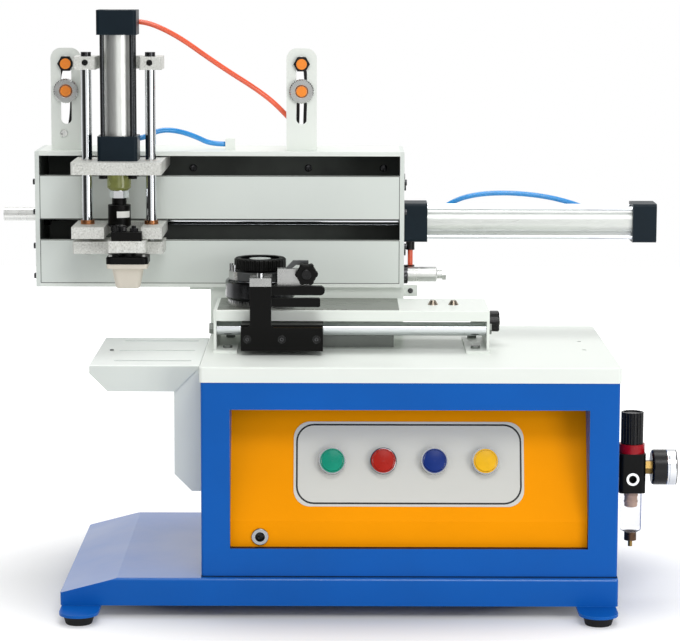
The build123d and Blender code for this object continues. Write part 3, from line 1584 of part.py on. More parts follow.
with BuildPart() as rod_coupler:
    with BuildSketch(Plane.XZ.offset(-axis_y)):
        with BuildLine():
            Polyline(
                (axis_x + rod_radius, nut_bottom),
                (axis_x + coupler_neck_radius, nut_bottom),
                (axis_x + coupler_neck_radius, neck_bottom),
                (axis_x + coupler_radius, neck_bottom),
                (axis_x + coupler_radius, coupler_bottom),
                (axis_x + coupler_stud_radius, stud_top),
                (axis_x + coupler_stud_radius, pad_plate_top),
                (axis_x, pad_plate_top),
                (axis_x, neck_bottom),
                (axis_x + rod_radius, neck_bottom),
                close=True,
            )
        make_face()
    revolve(axis=Axis((axis_x, axis_y, 0), (0, 0, 1)))
    with BuildSketch(Plane.XY.offset(holder_top)):
        with Locations((pad_x, clamp_block_y)):
            Rectangle(clamp_block_width, clamp_block_depth)
    extrude(amount=clamp_block_height)
    with BuildSketch(Plane.XY.offset(holder_top)):
        with Locations((pad_x - holder_screw_spread, holder_screw_y), (pad_x + holder_screw_spread, holder_screw_y)):
            Circle(holder_screw_radius)
    extrude(amount=holder_screw_height)
rod_coupler.part.label = "rod_coupler"
export_step(rod_coupler.part, "parts/rod_coupler.step")

mount_top = mount_bottom + mount_thickness
with BuildPart() as pad_mount:
    with BuildSketch(Plane.XY.offset(mount_bottom)):
        with Locations((pad_x, pad_y)):
            RectangleRounded(mount_width, mount_depth, mount_corner)
    extrude(amount=mount_thickness)
    fillet(pad_mount.faces().sort_by(Axis.Z)[-1].edges(), mount_edge)
    with BuildSketch(Plane.XY.offset(mount_top)):
        with Locations((pad_x, stem_y)):
            Circle(stem_radius)
    extrude(amount=holder_bottom - mount_top)
pad_mount.part.label = "pad_mount"
export_step(pad_mount.part, "parts/pad_mount.step")

with BuildPart() as silicone_pad:
    with BuildSketch(Plane.XY.offset(mount_bottom)):
        with Locations((pad_x, pad_y)):
            RectangleRounded(pad_flange_width, pad_flange_depth, pad_corner / 2)
    extrude(amount=-pad_flange)
    with BuildSketch(Plane.XY.offset(mount_bottom - pad_flange)):
        with Locations((pad_x, pad_y)):
            RectangleRounded(pad_root_width, pad_root_depth, pad_corner)
    with BuildSketch(Plane.XY.offset(mount_bottom - pad_height)):
        with Locations((pad_x, pad_y)):
            RectangleRounded(pad_face_width, pad_face_depth, pad_corner)
    loft()
    fillet(silicone_pad.faces().sort_by(Axis.Z)[0].edges(), pad_edge)
silicone_pad.part.label = "silicone_pad"
export_step(silicone_pad.part, "parts/silicone_pad.step")

# Position sensors on slotted brackets
slot_middle = head_top + (sensor_slot_bottom + sensor_slot_top) / 2
slot_span = sensor_slot_top - sensor_slot_bottom
sensor_face = Plane(origin=(0, sensor_bracket_y, 0), x_dir=(1, 0, 0), z_dir=(0, -1, 0))
sensor_spots = [(x, head_top + rise) for x in sensor_bracket_x for rise in sensor_rise]

with BuildPart() as sensor_brackets:
    with BuildSketch(sensor_face):
        with Locations(*[(x, head_top + sensor_bracket_height / 2) for x in sensor_bracket_x]):
            Rectangle(sensor_bracket_width, sensor_bracket_height)
        upper_corners = vertices().group_by(Axis.Y)[-1]
        fillet(upper_corners, sensor_bracket_corner)
        with Locations(*[(x, slot_middle) for x in sensor_bracket_x]):
            SlotOverall(slot_span, sensor_slot_width, rotation=90, mode=Mode.SUBTRACT)
    extrude(amount=-sensor_bracket_sheet)
    with BuildSketch(Plane.XY.offset(head_top)):
        with Locations(*[(x, sensor_bracket_y + sensor_foot / 2) for x in sensor_bracket_x]):
            Rectangle(sensor_bracket_width, sensor_foot)
    extrude(amount=sensor_bracket_sheet)
sensor_brackets.part.label = "sensor_brackets"
export_step(sensor_brackets.part, "parts/sensor_brackets.step")

with BuildPart() as position_sensors:
    with BuildSketch(sensor_face.offset(sensor_front)):
        with Locations(*sensor_spots):
            Circle(sensor_radius)
    extrude(amount=-sensor_length)
    for rise, across in zip(sensor_rise, sensor_nut):
        with BuildSketch(sensor_face):
            with Locations(*[(x, head_top + rise) for x in sensor_bracket_x]):
                RegularPolygon(across / 2, 6, major_radius=False)
        extrude(amount=sensor_nut_height)
        with BuildSketch(sensor_face.offset(-sensor_bracket_sheet)):
            with Locations(*[(x, head_top + rise) for x in sensor_bracket_x]):
                RegularPolygon(across / 2, 6, major_radius=False)
        extrude(amount=-sensor_nut_height)
position_sensors.part.label = "position_sensors"
export_step(position_sensors.part, "parts/position_sensors.step")

# Filter regulator and gauge on the right side of the cabinet
regulator_top = regulator_bottom + regulator_height
regulator_front = regulator_y - regulator_width / 2
regulator_right = regulator_x + regulator_width / 2
gauge_z = regulator_bottom + gauge_rise
port_face = Plane(origin=(regulator_x, regulator_front, regulator_bottom + port_rise), x_dir=(1, 0, 0), z_dir=(0, -1, 0))
gauge_plane = Plane(origin=(regulator_right, regulator_y, gauge_z), x_dir=(0, 1, 0), z_dir=(1, 0, 0))

with BuildPart() as regulator_body:
    with BuildSketch(Plane.XY.offset(regulator_bottom)):
        with Locations((regulator_x, regulator_y)):
            RectangleRounded(regulator_width, regulator_width, regulator_corner)
    extrude(amount=regulator_height)
    with BuildSketch(Plane.XY.offset(regulator_top)):
        with Locations((regulator_x, regulator_y)):
            Circle(collar_radius)
    extrude(amount=collar_height)
    with BuildSketch(port_face):
        Circle(port_rim_radius)
    extrude(amount=port_rim)
    with BuildSketch(port_face.offset(port_rim)):
        Circle(port_radius)
    extrude(amount=-port_depth, mode=Mode.SUBTRACT)
    with BuildSketch(Plane.XY.offset(regulator_top + collar_height)):
        with Locations((regulator_x, regulator_y)):
            Circle(regulator_stem_radius + running_gap)
    extrude(amount=-regulator_stem - 1, mode=Mode.SUBTRACT)
    with BuildSketch(Plane.YZ.offset(cabinet_right)):
        with Locations((regulator_y, gauge_z)):
            Rectangle(bracket_plate_width, bracket_plate_height)
    extrude(amount=regulator_x - regulator_width / 2 - cabinet_right)
regulator_body.part.label = "regulator_body"
export_step(regulator_body.part, "parts/regulator_body.step")

with BuildPart() as regulator_bowl:
    with BuildSketch(Plane.XY.offset(regulator_bottom)):
        with Locations((regulator_x, regulator_y)):
            Circle(bowl_radius)
    extrude(amount=-bowl_height)
    fillet(regulator_bowl.faces().sort_by(Axis.Z)[0].edges(), bowl_edge)
    with BuildSketch(Plane.XY.offset(regulator_bottom - bowl_height)):
        with Locations((regulator_x, regulator_y)):
            Circle(drain_radius)
    extrude(amount=-drain_height)
    with BuildSketch(Plane.XY.offset(regulator_bottom - bowl_height - drain_height)):
        with Locations((regulator_x, regulator_y)):
            Circle(nipple_radius)
    extrude(amount=-nipple_height)
regulator_bowl.part.label = "regulator_bowl"
export_step(regulator_bowl.part, "parts/regulator_bowl.step")

regulator_knob_bottom = regulator_top + collar_height + cap_gap
with BuildPart() as regulator_knob:
    with BuildSketch(Plane.XY.offset(regulator_knob_bottom)):
        with Locations((regulator_x, regulator_y)):
            Circle(regulator_knob_radius)
            with PolarLocations(regulator_knob_radius, regulator_knob_ribs):
                Circle(knob_groove_radius, mode=Mode.SUBTRACT)
    extrude(amount=regulator_knob_height)
    with BuildSketch(Plane.XY.offset(regulator_knob_bottom + regulator_knob_height)):
        with Locations((regulator_x, regulator_y)):
            Circle(regulator_knob_radius - 2 * knob_groove_radius)
    extrude(amount=-knob_groove_radius, mode=Mode.SUBTRACT)
    with BuildSketch(Plane.XY.offset(regulator_knob_bottom)):
        with Locations((regulator_x, regulator_y)):
            Circle(regulator_stem_radius)
    extrude(amount=-regulator_stem)
regulator_knob.part.label = "regulator_knob"
export_step(regulator_knob.part, "parts/regulator_knob.step")

gauge_length = gauge_reach - regulator_right - gauge_hex_length
with BuildPart() as pressure_gauge:
    with BuildSketch(gauge_plane):
        RegularPolygon(gauge_hex / 2, 6, major_radius=False)
    extrude(amount=gauge_hex_length)
    with BuildSketch(gauge_plane.offset(gauge_hex_length)):
        Circle(gauge_radius)
    extrude(amount=gauge_length)
    fillet(pressure_gauge.edges().filter_by(GeomType.CIRCLE).sort_by(Axis.X)[0], gauge_edge)
    with BuildSketch(gauge_plane.offset(gauge_hex_length + gauge_length)):
        Circle(gauge_radius - gauge_rim)
    extrude(amount=-gauge_rim_depth, mode=Mode.SUBTRACT)
pressure_gauge.part.label = "pressure_gauge"
export_step(pressure_gauge.part, "parts/pressure_gauge.step")

# Push-in fittings and the air tubes between them
x_left_port = head_right + left_port_inset
x_right_port = head_right + x_total - cap_length / 2
rear_tube_y = rail_y + cap_side / 2 + fitting_reach
left_port_bottom = x_axis_z - cap_side / 2
cover_orange = (-38.0, 121.0)
cover_blue = (-122.0, 104.0)

with BuildPart() as air_fittings:
    with BuildSketch(Plane(origin=(x_right_port, rail_y + cap_side / 2, x_axis_z), x_dir=(1, 0, 0), z_dir=(0, 1, 0))):
        Circle(fitting_radius - 1)
    extrude(amount=fitting_reach)
    with BuildSketch(Plane(origin=(x_right_port + fitting_radius, rear_tube_y, x_axis_z), x_dir=(0, 1, 0), z_dir=(-1, 0, 0))):
        Circle(fitting_radius - 0.8)
    extrude(amount=elbow_length)
    with BuildSketch(right_face):
        with Locations((rear_tube_y, x_axis_z - blue_port_drop)):
            Circle(fitting_radius)
    extrude(amount=bulkhead_length)
    with BuildSketch(Plane.XY.offset(left_port_bottom)):
        with Locations((x_left_port, rail_y)):
            Circle(fitting_radius - 0.5)
    extrude(amount=-bulkhead_length)
    with BuildSketch(Plane.XY.offset(left_port_bottom - bulkhead_length - orange_drop)):
        with Locations((x_left_port, rail_y)):
            Circle(fitting_radius - 0.5)
    extrude(amount=-bulkhead_length)
    with BuildSketch(Plane.XY.offset(head_top)):
        with Locations(cover_orange):
            Circle(fitting_radius)
    extrude(amount=bulkhead_length)
    with BuildSketch(Plane.XY.offset(head_top)):
        with Locations((cover_blue[0] + fitting_radius, cover_blue[1])):
            Rectangle(2 * fitting_radius, 2 * fitting_radius)
    extrude(amount=cover_elbow_height)
air_fittings.part.label = "air_fittings"
export_step(air_fittings.part, "parts/air_fittings.step")


def hose(name, points):
    """Round air tube along straight runs joined by arcs as large as the runs allow."""
    runs = [Vector(*b) - Vector(*a) for a, b in zip(points, points[1:])]
    radii = []
    for before, after in zip(runs, runs[1:]):
        half_turn = radians(before.get_angle(after)) / 2
        radii.append(0.45 * min(before.length, after.length) / tan(half_turn))
    with BuildPart() as tube:
        with BuildLine() as route:
            FilletPolyline(*points, radius=radii)
        with BuildSketch(Plane(origin=points[0], z_dir=runs[0])):
            Circle(hose_radius)
        sweep()
    length = sum(edge.length for edge in route.edges())
    expected = pi * hose_radius**2 * length
    print(name, "radii", [round(r) for r in radii], "length", round(length, 1))
    print(name, "volume ratio", round(tube.part.volume / expected, 4))
    tube.part.label = name
    return tube.part


tube_start_x = axis_x + port_shift - fitting_radius + elbow_length
tube_y = z_rear + fitting_reach
right_tube_start = x_right_port + fitting_radius - elbow_length
blue_end_z = x_axis_z - blue_port_drop
orange_top_z = left_port_bottom - bulkhead_length
cover_z = head_top + bulkhead_length
elbow_z = head_top + cover_elbow_height / 2

tube_z_top = hose(
    "tube_z_top",
    [
        (tube_start_x, tube_y, z_top_port),
        (tube_start_x + 12, tube_y, z_top_port),
        (-192, 64, 624.5),
        (-168, 68.5, 611),
        (-142, 74, 592),
        (-115, 80, 573.5),
        (-90, 86.5, 557.5),
        (-68, 94, 541),
        (-51, 104, 523),
        (cover_orange[0], cover_orange[1], cover_z + 13),
        (cover_orange[0], cover_orange[1], cover_z),
    ],
)
export_step(tube_z_top, "parts/tube_z_top.step")
tube_z_bottom = hose(
    "tube_z_bottom",
    [
        (tube_start_x, tube_y, z_bottom_port),
        (tube_start_x + 10, tube_y, z_bottom_port),
        (-202, 67, 506.5),
        (-188, 72.5, 509),
        (-171, 81, 506),
        (-154, 92, 499),
        (-139, cover_blue[1], elbow_z),
        (cover_blue[0], cover_blue[1], elbow_z),
    ],
)
export_step(tube_z_bottom, "parts/tube_z_bottom.step")
tube_x_right = hose(
    "tube_x_right",
    [
        (right_tube_start, rear_tube_y, x_axis_z),
        (right_tube_start - 17, rear_tube_y, x_axis_z),
        (right_tube_start - 40, rear_tube_y, 406),
        (290, rear_tube_y, 416.5),
        (262, rear_tube_y, 424.5),
        (232, rear_tube_y, 429),
        (202, rear_tube_y, 430.5),
        (174, rear_tube_y, 429),
        (150, rear_tube_y, 423.5),
        (130, rear_tube_y, 412),
        (113, rear_tube_y, blue_end_z),
        (head_right + bulkhead_length, rear_tube_y, blue_end_z),
    ],
)
export_step(tube_x_right, "parts/tube_x_right.step")
with BuildPart() as tube_x_left:
    with BuildSketch(Plane.XY.offset(orange_top_z)):
        with Locations((x_left_port, rail_y)):
            Circle(hose_radius)
    extrude(amount=-orange_drop)
tube_x_left.part.label = "tube_x_left"
export_step(tube_x_left.part, "parts/tube_x_left.step")
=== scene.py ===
"""Looks of the pad printing machine: materials, trim, air tubes, light and camera."""

import math

import bpy
from mathutils import Matrix, Vector


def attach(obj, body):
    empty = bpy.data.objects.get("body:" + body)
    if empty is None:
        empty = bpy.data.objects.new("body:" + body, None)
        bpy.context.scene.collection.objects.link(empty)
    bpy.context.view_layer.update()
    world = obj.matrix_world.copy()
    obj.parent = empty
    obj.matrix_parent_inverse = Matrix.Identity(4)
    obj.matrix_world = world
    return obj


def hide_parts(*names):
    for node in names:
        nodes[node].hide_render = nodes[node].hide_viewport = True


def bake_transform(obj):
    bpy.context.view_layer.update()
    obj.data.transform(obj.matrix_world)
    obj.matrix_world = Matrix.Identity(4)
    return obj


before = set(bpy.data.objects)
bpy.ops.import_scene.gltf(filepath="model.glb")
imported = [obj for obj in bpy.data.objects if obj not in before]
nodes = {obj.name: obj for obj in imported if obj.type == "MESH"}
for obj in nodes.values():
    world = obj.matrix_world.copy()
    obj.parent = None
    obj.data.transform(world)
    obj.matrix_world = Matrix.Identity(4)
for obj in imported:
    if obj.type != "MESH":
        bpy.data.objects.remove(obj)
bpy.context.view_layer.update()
scene = bpy.context.scene
MM = 0.001

# Directions, and places in mm that several pieces share
X_AXIS, Y_AXIS, Z_AXIS = Vector((1, 0, 0)), Vector((0, 1, 0)), Vector((0, 0, 1))
PRESS_X, PRESS_Y = -239, 31.5
SENSOR_X, SENSOR_Z = {"left": -304, "right": -34}, {"low": 552, "high": 583}
REGULATOR_X, REGULATOR_Y = 332.5, -78
GAUGE_Z = 148.5


# Camera, at the photograph's viewing angle
def make_camera():
    data = bpy.data.cameras.new("camera")
    data.sensor_width = 36.0
    data.lens = 134.62
    data.clip_start, data.clip_end = 0.1, 40.0
    camera = bpy.data.objects.new("camera", data)
    scene.collection.objects.link(camera)
    yaw, pitch, roll = 0.00005, 0.14054, 0.00258
    ahead = Vector((-math.sin(yaw) * math.cos(pitch), math.cos(yaw) * math.cos(pitch), -math.sin(pitch)))
    side = Vector((math.cos(yaw), math.sin(yaw), 0))
    up = side.cross(ahead)
    right = math.cos(roll) * side + math.sin(roll) * up
    top = -math.sin(roll) * side + math.cos(roll) * up
    turn = Matrix((right, top, -ahead)).transposed().to_4x4()
    camera.matrix_world = Matrix.Translation(Vector((0.01080, -2.83187, 0.70028))) @ turn
    scene.camera = camera


make_camera()


# Materials
def lin(r, g, b):
    def one(c):
        c /= 255
        return c / 12.92 if c <= 0.04045 else ((c + 0.055) / 1.055) ** 2.4

    return (one(r), one(g), one(b), 1.0)


def shade(colour, factor):
    return tuple(min(1.0, c * factor) for c in colour[:3]) + (1.0,)


def finish(
    name,
    rgb,
    rough,
    metallic=0.0,
    vary=0.05,
    patch=22.0,
    grain=900.0,
    bump=0.08,
    depth=0.00006,
    stretch=(1, 1, 1),
    fleck=0.0,
    fleck_scale=1400.0,
    edge=None,
    edge_radius=0.0006,
    specular=0.5,
    coat=0.0,
    transmission=0.0,
    ior=1.5,
    rough_vary=0.06,
):
    """A procedural finish: slow colour drift, fine grain in the bump, uneven gloss, painted highlights on
    edges.
    """
    m = bpy.data.materials.new(name)
    m.use_nodes = True
    tree = m.node_tree
    link = tree.links.new
    shader = tree.nodes["Principled BSDF"]
    colour = lin(*rgb)
    shader.inputs["Metallic"].default_value = metallic
    shader.inputs["Specular IOR Level"].default_value = specular
    shader.inputs["Coat Weight"].default_value = coat
    shader.inputs["Coat Roughness"].default_value = 0.08
    shader.inputs["Transmission Weight"].default_value = transmission
    shader.inputs["IOR"].default_value = ior
    where = tree.nodes.new("ShaderNodeTexCoord")
    mapping = tree.nodes.new("ShaderNodeMapping")
    mapping.inputs["Scale"].default_value = stretch
    link(where.outputs["Object"], mapping.inputs["Vector"])

    def noise(scale, detail):
        node = tree.nodes.new("ShaderNodeTexNoise")
        node.inputs["Scale"].default_value = scale
        node.inputs["Detail"].default_value = detail
        link(mapping.outputs["Vector"], node.inputs["Vector"])
        return node.outputs["Fac"]

    def span(value, low, high, to_low, to_high):
        node = tree.nodes.new("ShaderNodeMapRange")
        node.inputs["From Min"].default_value = low
        node.inputs["From Max"].default_value = high
        node.inputs["To Min"].default_value = to_low
        node.inputs["To Max"].default_value = to_high
        link(value, node.inputs["Value"])
        return node.outputs["Result"]

    def mix(factor, a, b):
        node = tree.nodes.new("ShaderNodeMix")
        node.data_type = "RGBA"
        link(factor, node.inputs[0])
        for socket, value in ((node.inputs[6], a), (node.inputs[7], b)):
            if isinstance(value, tuple):
                socket.default_value = value
            else:
                link(value, socket)
        return node.outputs[2]

    slow = noise(patch, 4.0)
    fine = noise(grain, 2.0)
    out = mix(span(slow, 0.35, 0.65, 0, 1), shade(colour, 1 - vary), shade(colour, 1 + vary))
    if fleck:
        spots = noise(fleck_scale, 1.0)
        out = mix(span(spots, 0.44, 0.30, 0, fleck), out, shade(colour, 0.45))
        out = mix(span(spots, 0.58, 0.70, 0, fleck), out, shade(colour, 1.6))
    # Painted highlight: a lighter colour along the edges, where they would catch the light
    if edge:
        bevel = tree.nodes.new("ShaderNodeBevel")
        bevel.samples = 4
        bevel.inputs["Radius"].default_value = edge_radius
        geometry = tree.nodes.new("ShaderNodeNewGeometry")
        dot = tree.nodes.new("ShaderNodeVectorMath")
        dot.operation = "DOT_PRODUCT"
        link(bevel.outputs["Normal"], dot.inputs[0])
        link(geometry.outputs["Normal"], dot.inputs[1])
        edge_highlight = span(dot.outputs["Value"], 0.97, 0.80, 0, 0.8)
        out = mix(edge_highlight, out, lin(*edge))
    link(out, shader.inputs["Base Color"])
    link(
        span(slow, 0.3, 0.7, max(0.02, rough - rough_vary), rough + rough_vary), shader.inputs["Roughness"],
    )
    lift = tree.nodes.new("ShaderNodeBump")
    lift.inputs["Strength"].default_value = bump
    lift.inputs["Distance"].default_value = depth
    link(fine, lift.inputs["Height"])
    link(lift.outputs["Normal"], shader.inputs["Normal"])
    return m


blue = finish(
    "blue_paint", (8, 90, 177), 0.33, vary=0.05, patch=9, grain=700, bump=0.25, depth=0.00008,
    specular=0.14, edge=(60, 128, 205), edge_radius=0.0008,
)
# Lighter, glossier copy of the blue for the top faces of the base: the lighter colour is painted light on
# the top
blue_top_painted_light = finish(
    "blue_gloss_painted_light", (20, 100, 185), 0.33, vary=0.05, patch=9, grain=700, bump=0.2, depth=0.00008,
    specular=0.3, coat=0.6, edge=(60, 128, 205), edge_radius=0.0008,
)
white = finish(
    "white_paint", (236, 241, 235), 0.38, vary=0.012, patch=12, grain=800, bump=0.25, depth=0.00007,
    edge=(250, 252, 250), specular=0.35,
)
# Lighter white for the tray's top faces: painted light on the top, while its sides keep the darker head
# white
tray_top_painted_light = finish(
    "tray_painted_light", (246, 251, 247), 0.36, vary=0.012, patch=12, grain=800, bump=0.25, depth=0.00007,
    edge=(252, 254, 252), specular=0.35,
)
head_white = finish(
    "head_paint", (221, 227, 222), 0.40, vary=0.014, patch=10, grain=800, bump=0.25, depth=0.00007,
    edge=(246, 249, 246), specular=0.35,
)
orange = finish(
    "orange_paint", (252, 157, 0), 0.42, vary=0.03, patch=8, grain=650, bump=0.3, depth=0.00009,
    specular=0.05,
)
# Mid grey standing for shade: painted shade inside the head and in the thin dark lines round its front
# plates
painted_shade = finish(
    "painted_shade", (98, 102, 98), 0.6, vary=0.2, patch=14, grain=500, bump=0.2, specular=0.2,
)
label_silver = finish(
    "label_film", (212, 212, 206), 0.5, metallic=0.0, specular=0.25, vary=0.02, patch=14, grain=1500,
    bump=0.1, stretch=(0.2, 1, 1),
)
ink = finish("printed_line", (20, 20, 22), 0.5, vary=0.1, grain=1200, bump=0.05)
rubber = finish(
    "rubber", (26, 26, 28), 0.75, vary=0.15, patch=60, grain=900, bump=0.4, depth=0.0001, specular=0.3,
)
chrome = finish(
    "chrome", (222, 224, 226), 0.09, metallic=1.0, vary=0.03, patch=40, grain=1500, bump=0.03,
    rough_vary=0.03,
)
bezel_chrome = finish(
    "bezel_chrome", (152, 154, 157), 0.14, metallic=1.0, vary=0.05, patch=60, grain=1200, bump=0.04,
    edge=(236, 237, 239), rough_vary=0.04,
)
rod_chrome = finish(
    "ground_chrome", (222, 225, 228), 0.09, metallic=1.0, vary=0.03, patch=60, grain=1200, bump=0.05,
    stretch=(1, 1, 8), rough_vary=0.04,
)
bright = finish(
    "turned_steel", (226, 227, 224), 0.3, metallic=0.7, vary=0.04, patch=50, grain=1300, bump=0.03,
    stretch=(4, 1, 1),
)
steel_dark = finish(
    "dark_steel", (120, 124, 120), 0.36, metallic=0.6, vary=0.1, patch=30, grain=900, bump=0.15,
    edge=(150, 154, 150),
)
plate_steel = finish(
    "ground_plate", (136, 139, 132), 0.30, metallic=0.7, vary=0.08, patch=20, grain=1100, bump=0.12,
    stretch=(1, 14, 1), edge=(190, 192, 188),
)
blasted = finish(
    "blasted_aluminium", (216, 217, 211), 0.5, metallic=0.3, vary=0.03, patch=40, grain=520, bump=0.7,
    depth=0.0003, fleck=0.42, fleck_scale=520, edge=(236, 237, 234),
)
satin = finish(
    "satin_metal", (182, 183, 181), 0.28, metallic=0.9, vary=0.08, patch=60, grain=1000, bump=0.12,
    fleck=0.15, edge=(225, 226, 224),
)
barrel_x = finish(
    "barrel_length", (214, 217, 213), 0.32, metallic=0.5, vary=0.03, patch=30, grain=800, bump=0.12,
    stretch=(0.12, 1, 1), fleck=0.12, fleck_scale=500,
)
barrel_z = finish(
    "barrel_height", (224, 226, 222), 0.34, metallic=0.8, vary=0.03, patch=30, grain=800, bump=0.12,
    stretch=(1, 1, 0.12), fleck=0.12, fleck_scale=500,
)
# Dark copy of the rod metal for the tie rods of the upright cylinder: painted shade and dark reflection,
# where the other cylinder's tie rods stay chrome
tie_rod_painted_shade = finish("dark_rod_painted_shade", (58, 60, 62), 0.25, metallic=0.8, vary=0.1, patch=60, grain=900, bump=0.1)
black = finish(
    "black_anodised", (6, 6, 5), 0.40, vary=0.2, patch=40, grain=900, bump=0.2, edge=(70, 71, 70),
    specular=0.14,
)
gloss_black = finish(
    "black_plastic", (9, 9, 10), 0.28, vary=0.2, patch=60, grain=1100, bump=0.12, edge=(58, 59, 60),
    specular=0.3,
)
black_screw = finish(
    "black_screw", (66, 66, 68), 0.24, metallic=0.9, vary=0.15, patch=90, grain=900, bump=0.1,
    edge=(150, 151, 153),
)
nickel = finish(
    "nickel_screw", (176, 164, 148), 0.26, metallic=0.9, vary=0.12, patch=90, grain=900, bump=0.12,
    edge=(226, 220, 210),
)
# Dark navy standing for shade: painted shade on the side walls of the window and round the foot of the
# cabinet
shadow_blue = finish(
    "window_edge_painted_shade", (8, 22, 44), 0.5, vary=0.1, patch=20, grain=700, bump=0.15, specular=0.15,
)
cap_navy = finish(
    "cap_paint", (16, 30, 39), 0.40, vary=0.08, patch=30, grain=850, bump=0.3, depth=0.0001,
    edge=(84, 98, 108), specular=0.16,
)
bronze = finish("bronze", (176, 118, 78), 0.30, metallic=0.9, vary=0.1, patch=90, grain=900, bump=0.15)
brass = finish("brass", (138, 112, 62), 0.30, metallic=0.9, vary=0.12, patch=60, grain=900, bump=0.2)
resin = finish(
    "amber_resin", (158, 164, 92), 0.25, vary=0.14, patch=60, grain=700, bump=0.1, transmission=0.25,
    coat=0.3,
)
silicone = finish(
    "silicone", (214, 207, 194), 0.48, vary=0.03, patch=50, grain=700, bump=0.12, specular=0.35,
)
cup_steel = finish(
    "cup_steel", (96, 97, 99), 0.12, metallic=1.0, vary=0.15, patch=50, grain=700, bump=0.06,
    rough_vary=0.05,
)
lever_grey = finish(
    "lever_grey", (84, 86, 86), 0.34, metallic=0.6, vary=0.1, patch=60, grain=900, bump=0.15,
    edge=(170, 172, 172),
)
red_ring = finish(
    "red_collar", (164, 8, 26), 0.28, vary=0.06, patch=60, grain=900, bump=0.08, specular=0.25,
)
clear = finish(
    "clear_bowl", (244, 244, 246), 0.08, vary=0.01, patch=60, grain=300, bump=0.03, transmission=0.9,
    ior=1.08, rough_vary=0.04,
)
copper = finish("filter_element", (178, 142, 116), 0.6, vary=0.15, patch=90, grain=900, bump=0.5, fleck=0.4)
drain_dark = finish(
    "drain_bronze", (84, 62, 46), 0.3, metallic=0.8, vary=0.25, patch=120, grain=900, bump=0.15,
    edge=(190, 170, 140),
)
dial_white = finish("dial_face", (236, 236, 232), 0.5, vary=0.02, grain=900, bump=0.05)
sensor_orange = finish(
    "sensor_face", (252, 140, 22), 0.32, vary=0.06, patch=200, grain=1200, bump=0.08, coat=0.3,
)
tube_orange = finish(
    "tube_orange", (240, 98, 62), 0.25, vary=0.06, patch=60, grain=500, bump=0.05, coat=0.4, specular=0.5,
)
tube_blue = finish(
    "tube_blue", (44, 146, 218), 0.25, vary=0.06, patch=60, grain=500, bump=0.05, coat=0.4, specular=0.5,
)
cap_green = finish(
    "cap_green", (20, 146, 118), 0.32, vary=0.05, patch=90, grain=900, bump=0.06, specular=0.15,
)
cap_red = finish("cap_red", (174, 34, 24), 0.32, vary=0.05, patch=90, grain=900, bump=0.06, specular=0.15)
cap_blue = finish("cap_blue", (22, 50, 124), 0.32, vary=0.05, patch=90, grain=900, bump=0.06, specular=0.15)
cap_yellow = finish(
    "cap_yellow", (240, 184, 30), 0.32, vary=0.05, patch=90, grain=900, bump=0.06, specular=0.15,
)

caps = {"green": cap_green, "red": cap_red, "blue": cap_blue, "yellow": cap_yellow}


def paint(node, base, *rules):
    """Gives a node its finish; a rule is (finish, test of a face's centre in mm and its normal)."""
    mesh = nodes[node].data
    mesh.materials.clear()
    for m in [base] + [r[0] for r in rules]:
        mesh.materials.append(m)
    index = [0] * len(mesh.polygons)
    for i, face in enumerate(mesh.polygons):
        c = face.center * 1000
        for k, (_, test) in enumerate(rules):
            if test(c, face.normal):
                index[i] = k + 1
    mesh.polygons.foreach_set("material_index", index)
    mesh.update()


def reach(c, **place):
    """Distance in mm from an axis, given by two of x, y and z."""
    return math.hypot(*(getattr(c, k) - v for k, v in place.items()))


def in_window(c, n):
    return -108 < c.x < 279 and 73 < c.z < 226 and c.y < -147 and abs(n.y) < 0.5


# Inner faces of the head casing, which take the painted shade
def inside_casing(c, n):
    return (n.z < -0.9 and c.z > 480) or (n.y < -0.9 and c.y > 160) or (n.z > 0.9 and c.z < 335)


def on_tie_rods(a, b, lows, highs):
    return min(abs(a - lows[0]), abs(a - lows[1])) < 2.7 and min(abs(b - highs[0]), abs(b - highs[1])) < 2.7


def on_sensor_face(c, n):
    return c.y < 88 and min(reach(c, x=x, z=z) for x in SENSOR_X.values() for z in SENSOR_Z.values()) < 6.0


PANEL_N = Vector((0, -0.94832, 0.31730))
PANEL_U = Vector((0, 0.31730, 0.94832))
label_d = max(v.co.dot(PANEL_N) for v in nodes["label_plate"].data.vertices) * 1000


# The base's top faces take the lighter blue: painted light on the top
paint("base_frame", blue, (blue_top_painted_light, lambda c, n: n.z > 0.15 and c.z > 20))
paint("rear_panel", blue)
# The side walls of the window recess are painted dark navy: painted shade
paint("cabinet_shell", blue, (shadow_blue, in_window))
# The tray's top faces are painted lighter than its sides: painted light on the top
paint("work_tray", head_white, (tray_top_painted_light, lambda c, n: n.z > 0.5))
for n in ("cabinet_lid", "tray_bracket", "bed_top", "pedestal", "sensor_brackets"):
    paint(n, white)
paint("bed_supports", white, (steel_dark, lambda c, n: -101.5 < c.x < 71.5 and c.z < 284.2))
# Faces inside the head are painted dark: painted shade in its slots and behind its plates
paint("head_end_plates", head_white, (painted_shade, lambda c, n: abs(n.x) > 0.9 and -335 < c.x < 80))
paint("head_front_plates", head_white, (painted_shade, lambda c, n: n.y > 0.9))
paint("head_casing", white, (painted_shade, inside_casing))
paint("control_panel", orange)
paint("label_plate", label_silver)
paint("rubber_feet", rubber)
paint("button_bodies", bezel_chrome, (gloss_black, lambda c, n: c.dot(PANEL_N) < label_d - 1.0))
for n, m in caps.items():
    paint("button_" + n, m)
paint(
    "pedal_socket", bezel_chrome, (gloss_black, lambda c, n: reach(c, x=-75, z=85) < 6.6 and c.y > -150.2),
)
paint("printing_plate", plate_steel)
paint("guide_rod", rod_chrome)
paint("bed_screws", steel_dark, (nickel, lambda c, n: 105 < c.x < 150 and c.z > 316))
paint("slide_block", black)
paint("cup_arm", black, (brass, lambda c, n: n.z > 0.9 and c.x > -64 and 301 < c.z < 306))
paint("cup_yoke", lever_grey, (satin, lambda c, n: c.y < -36 or c.x < -104))
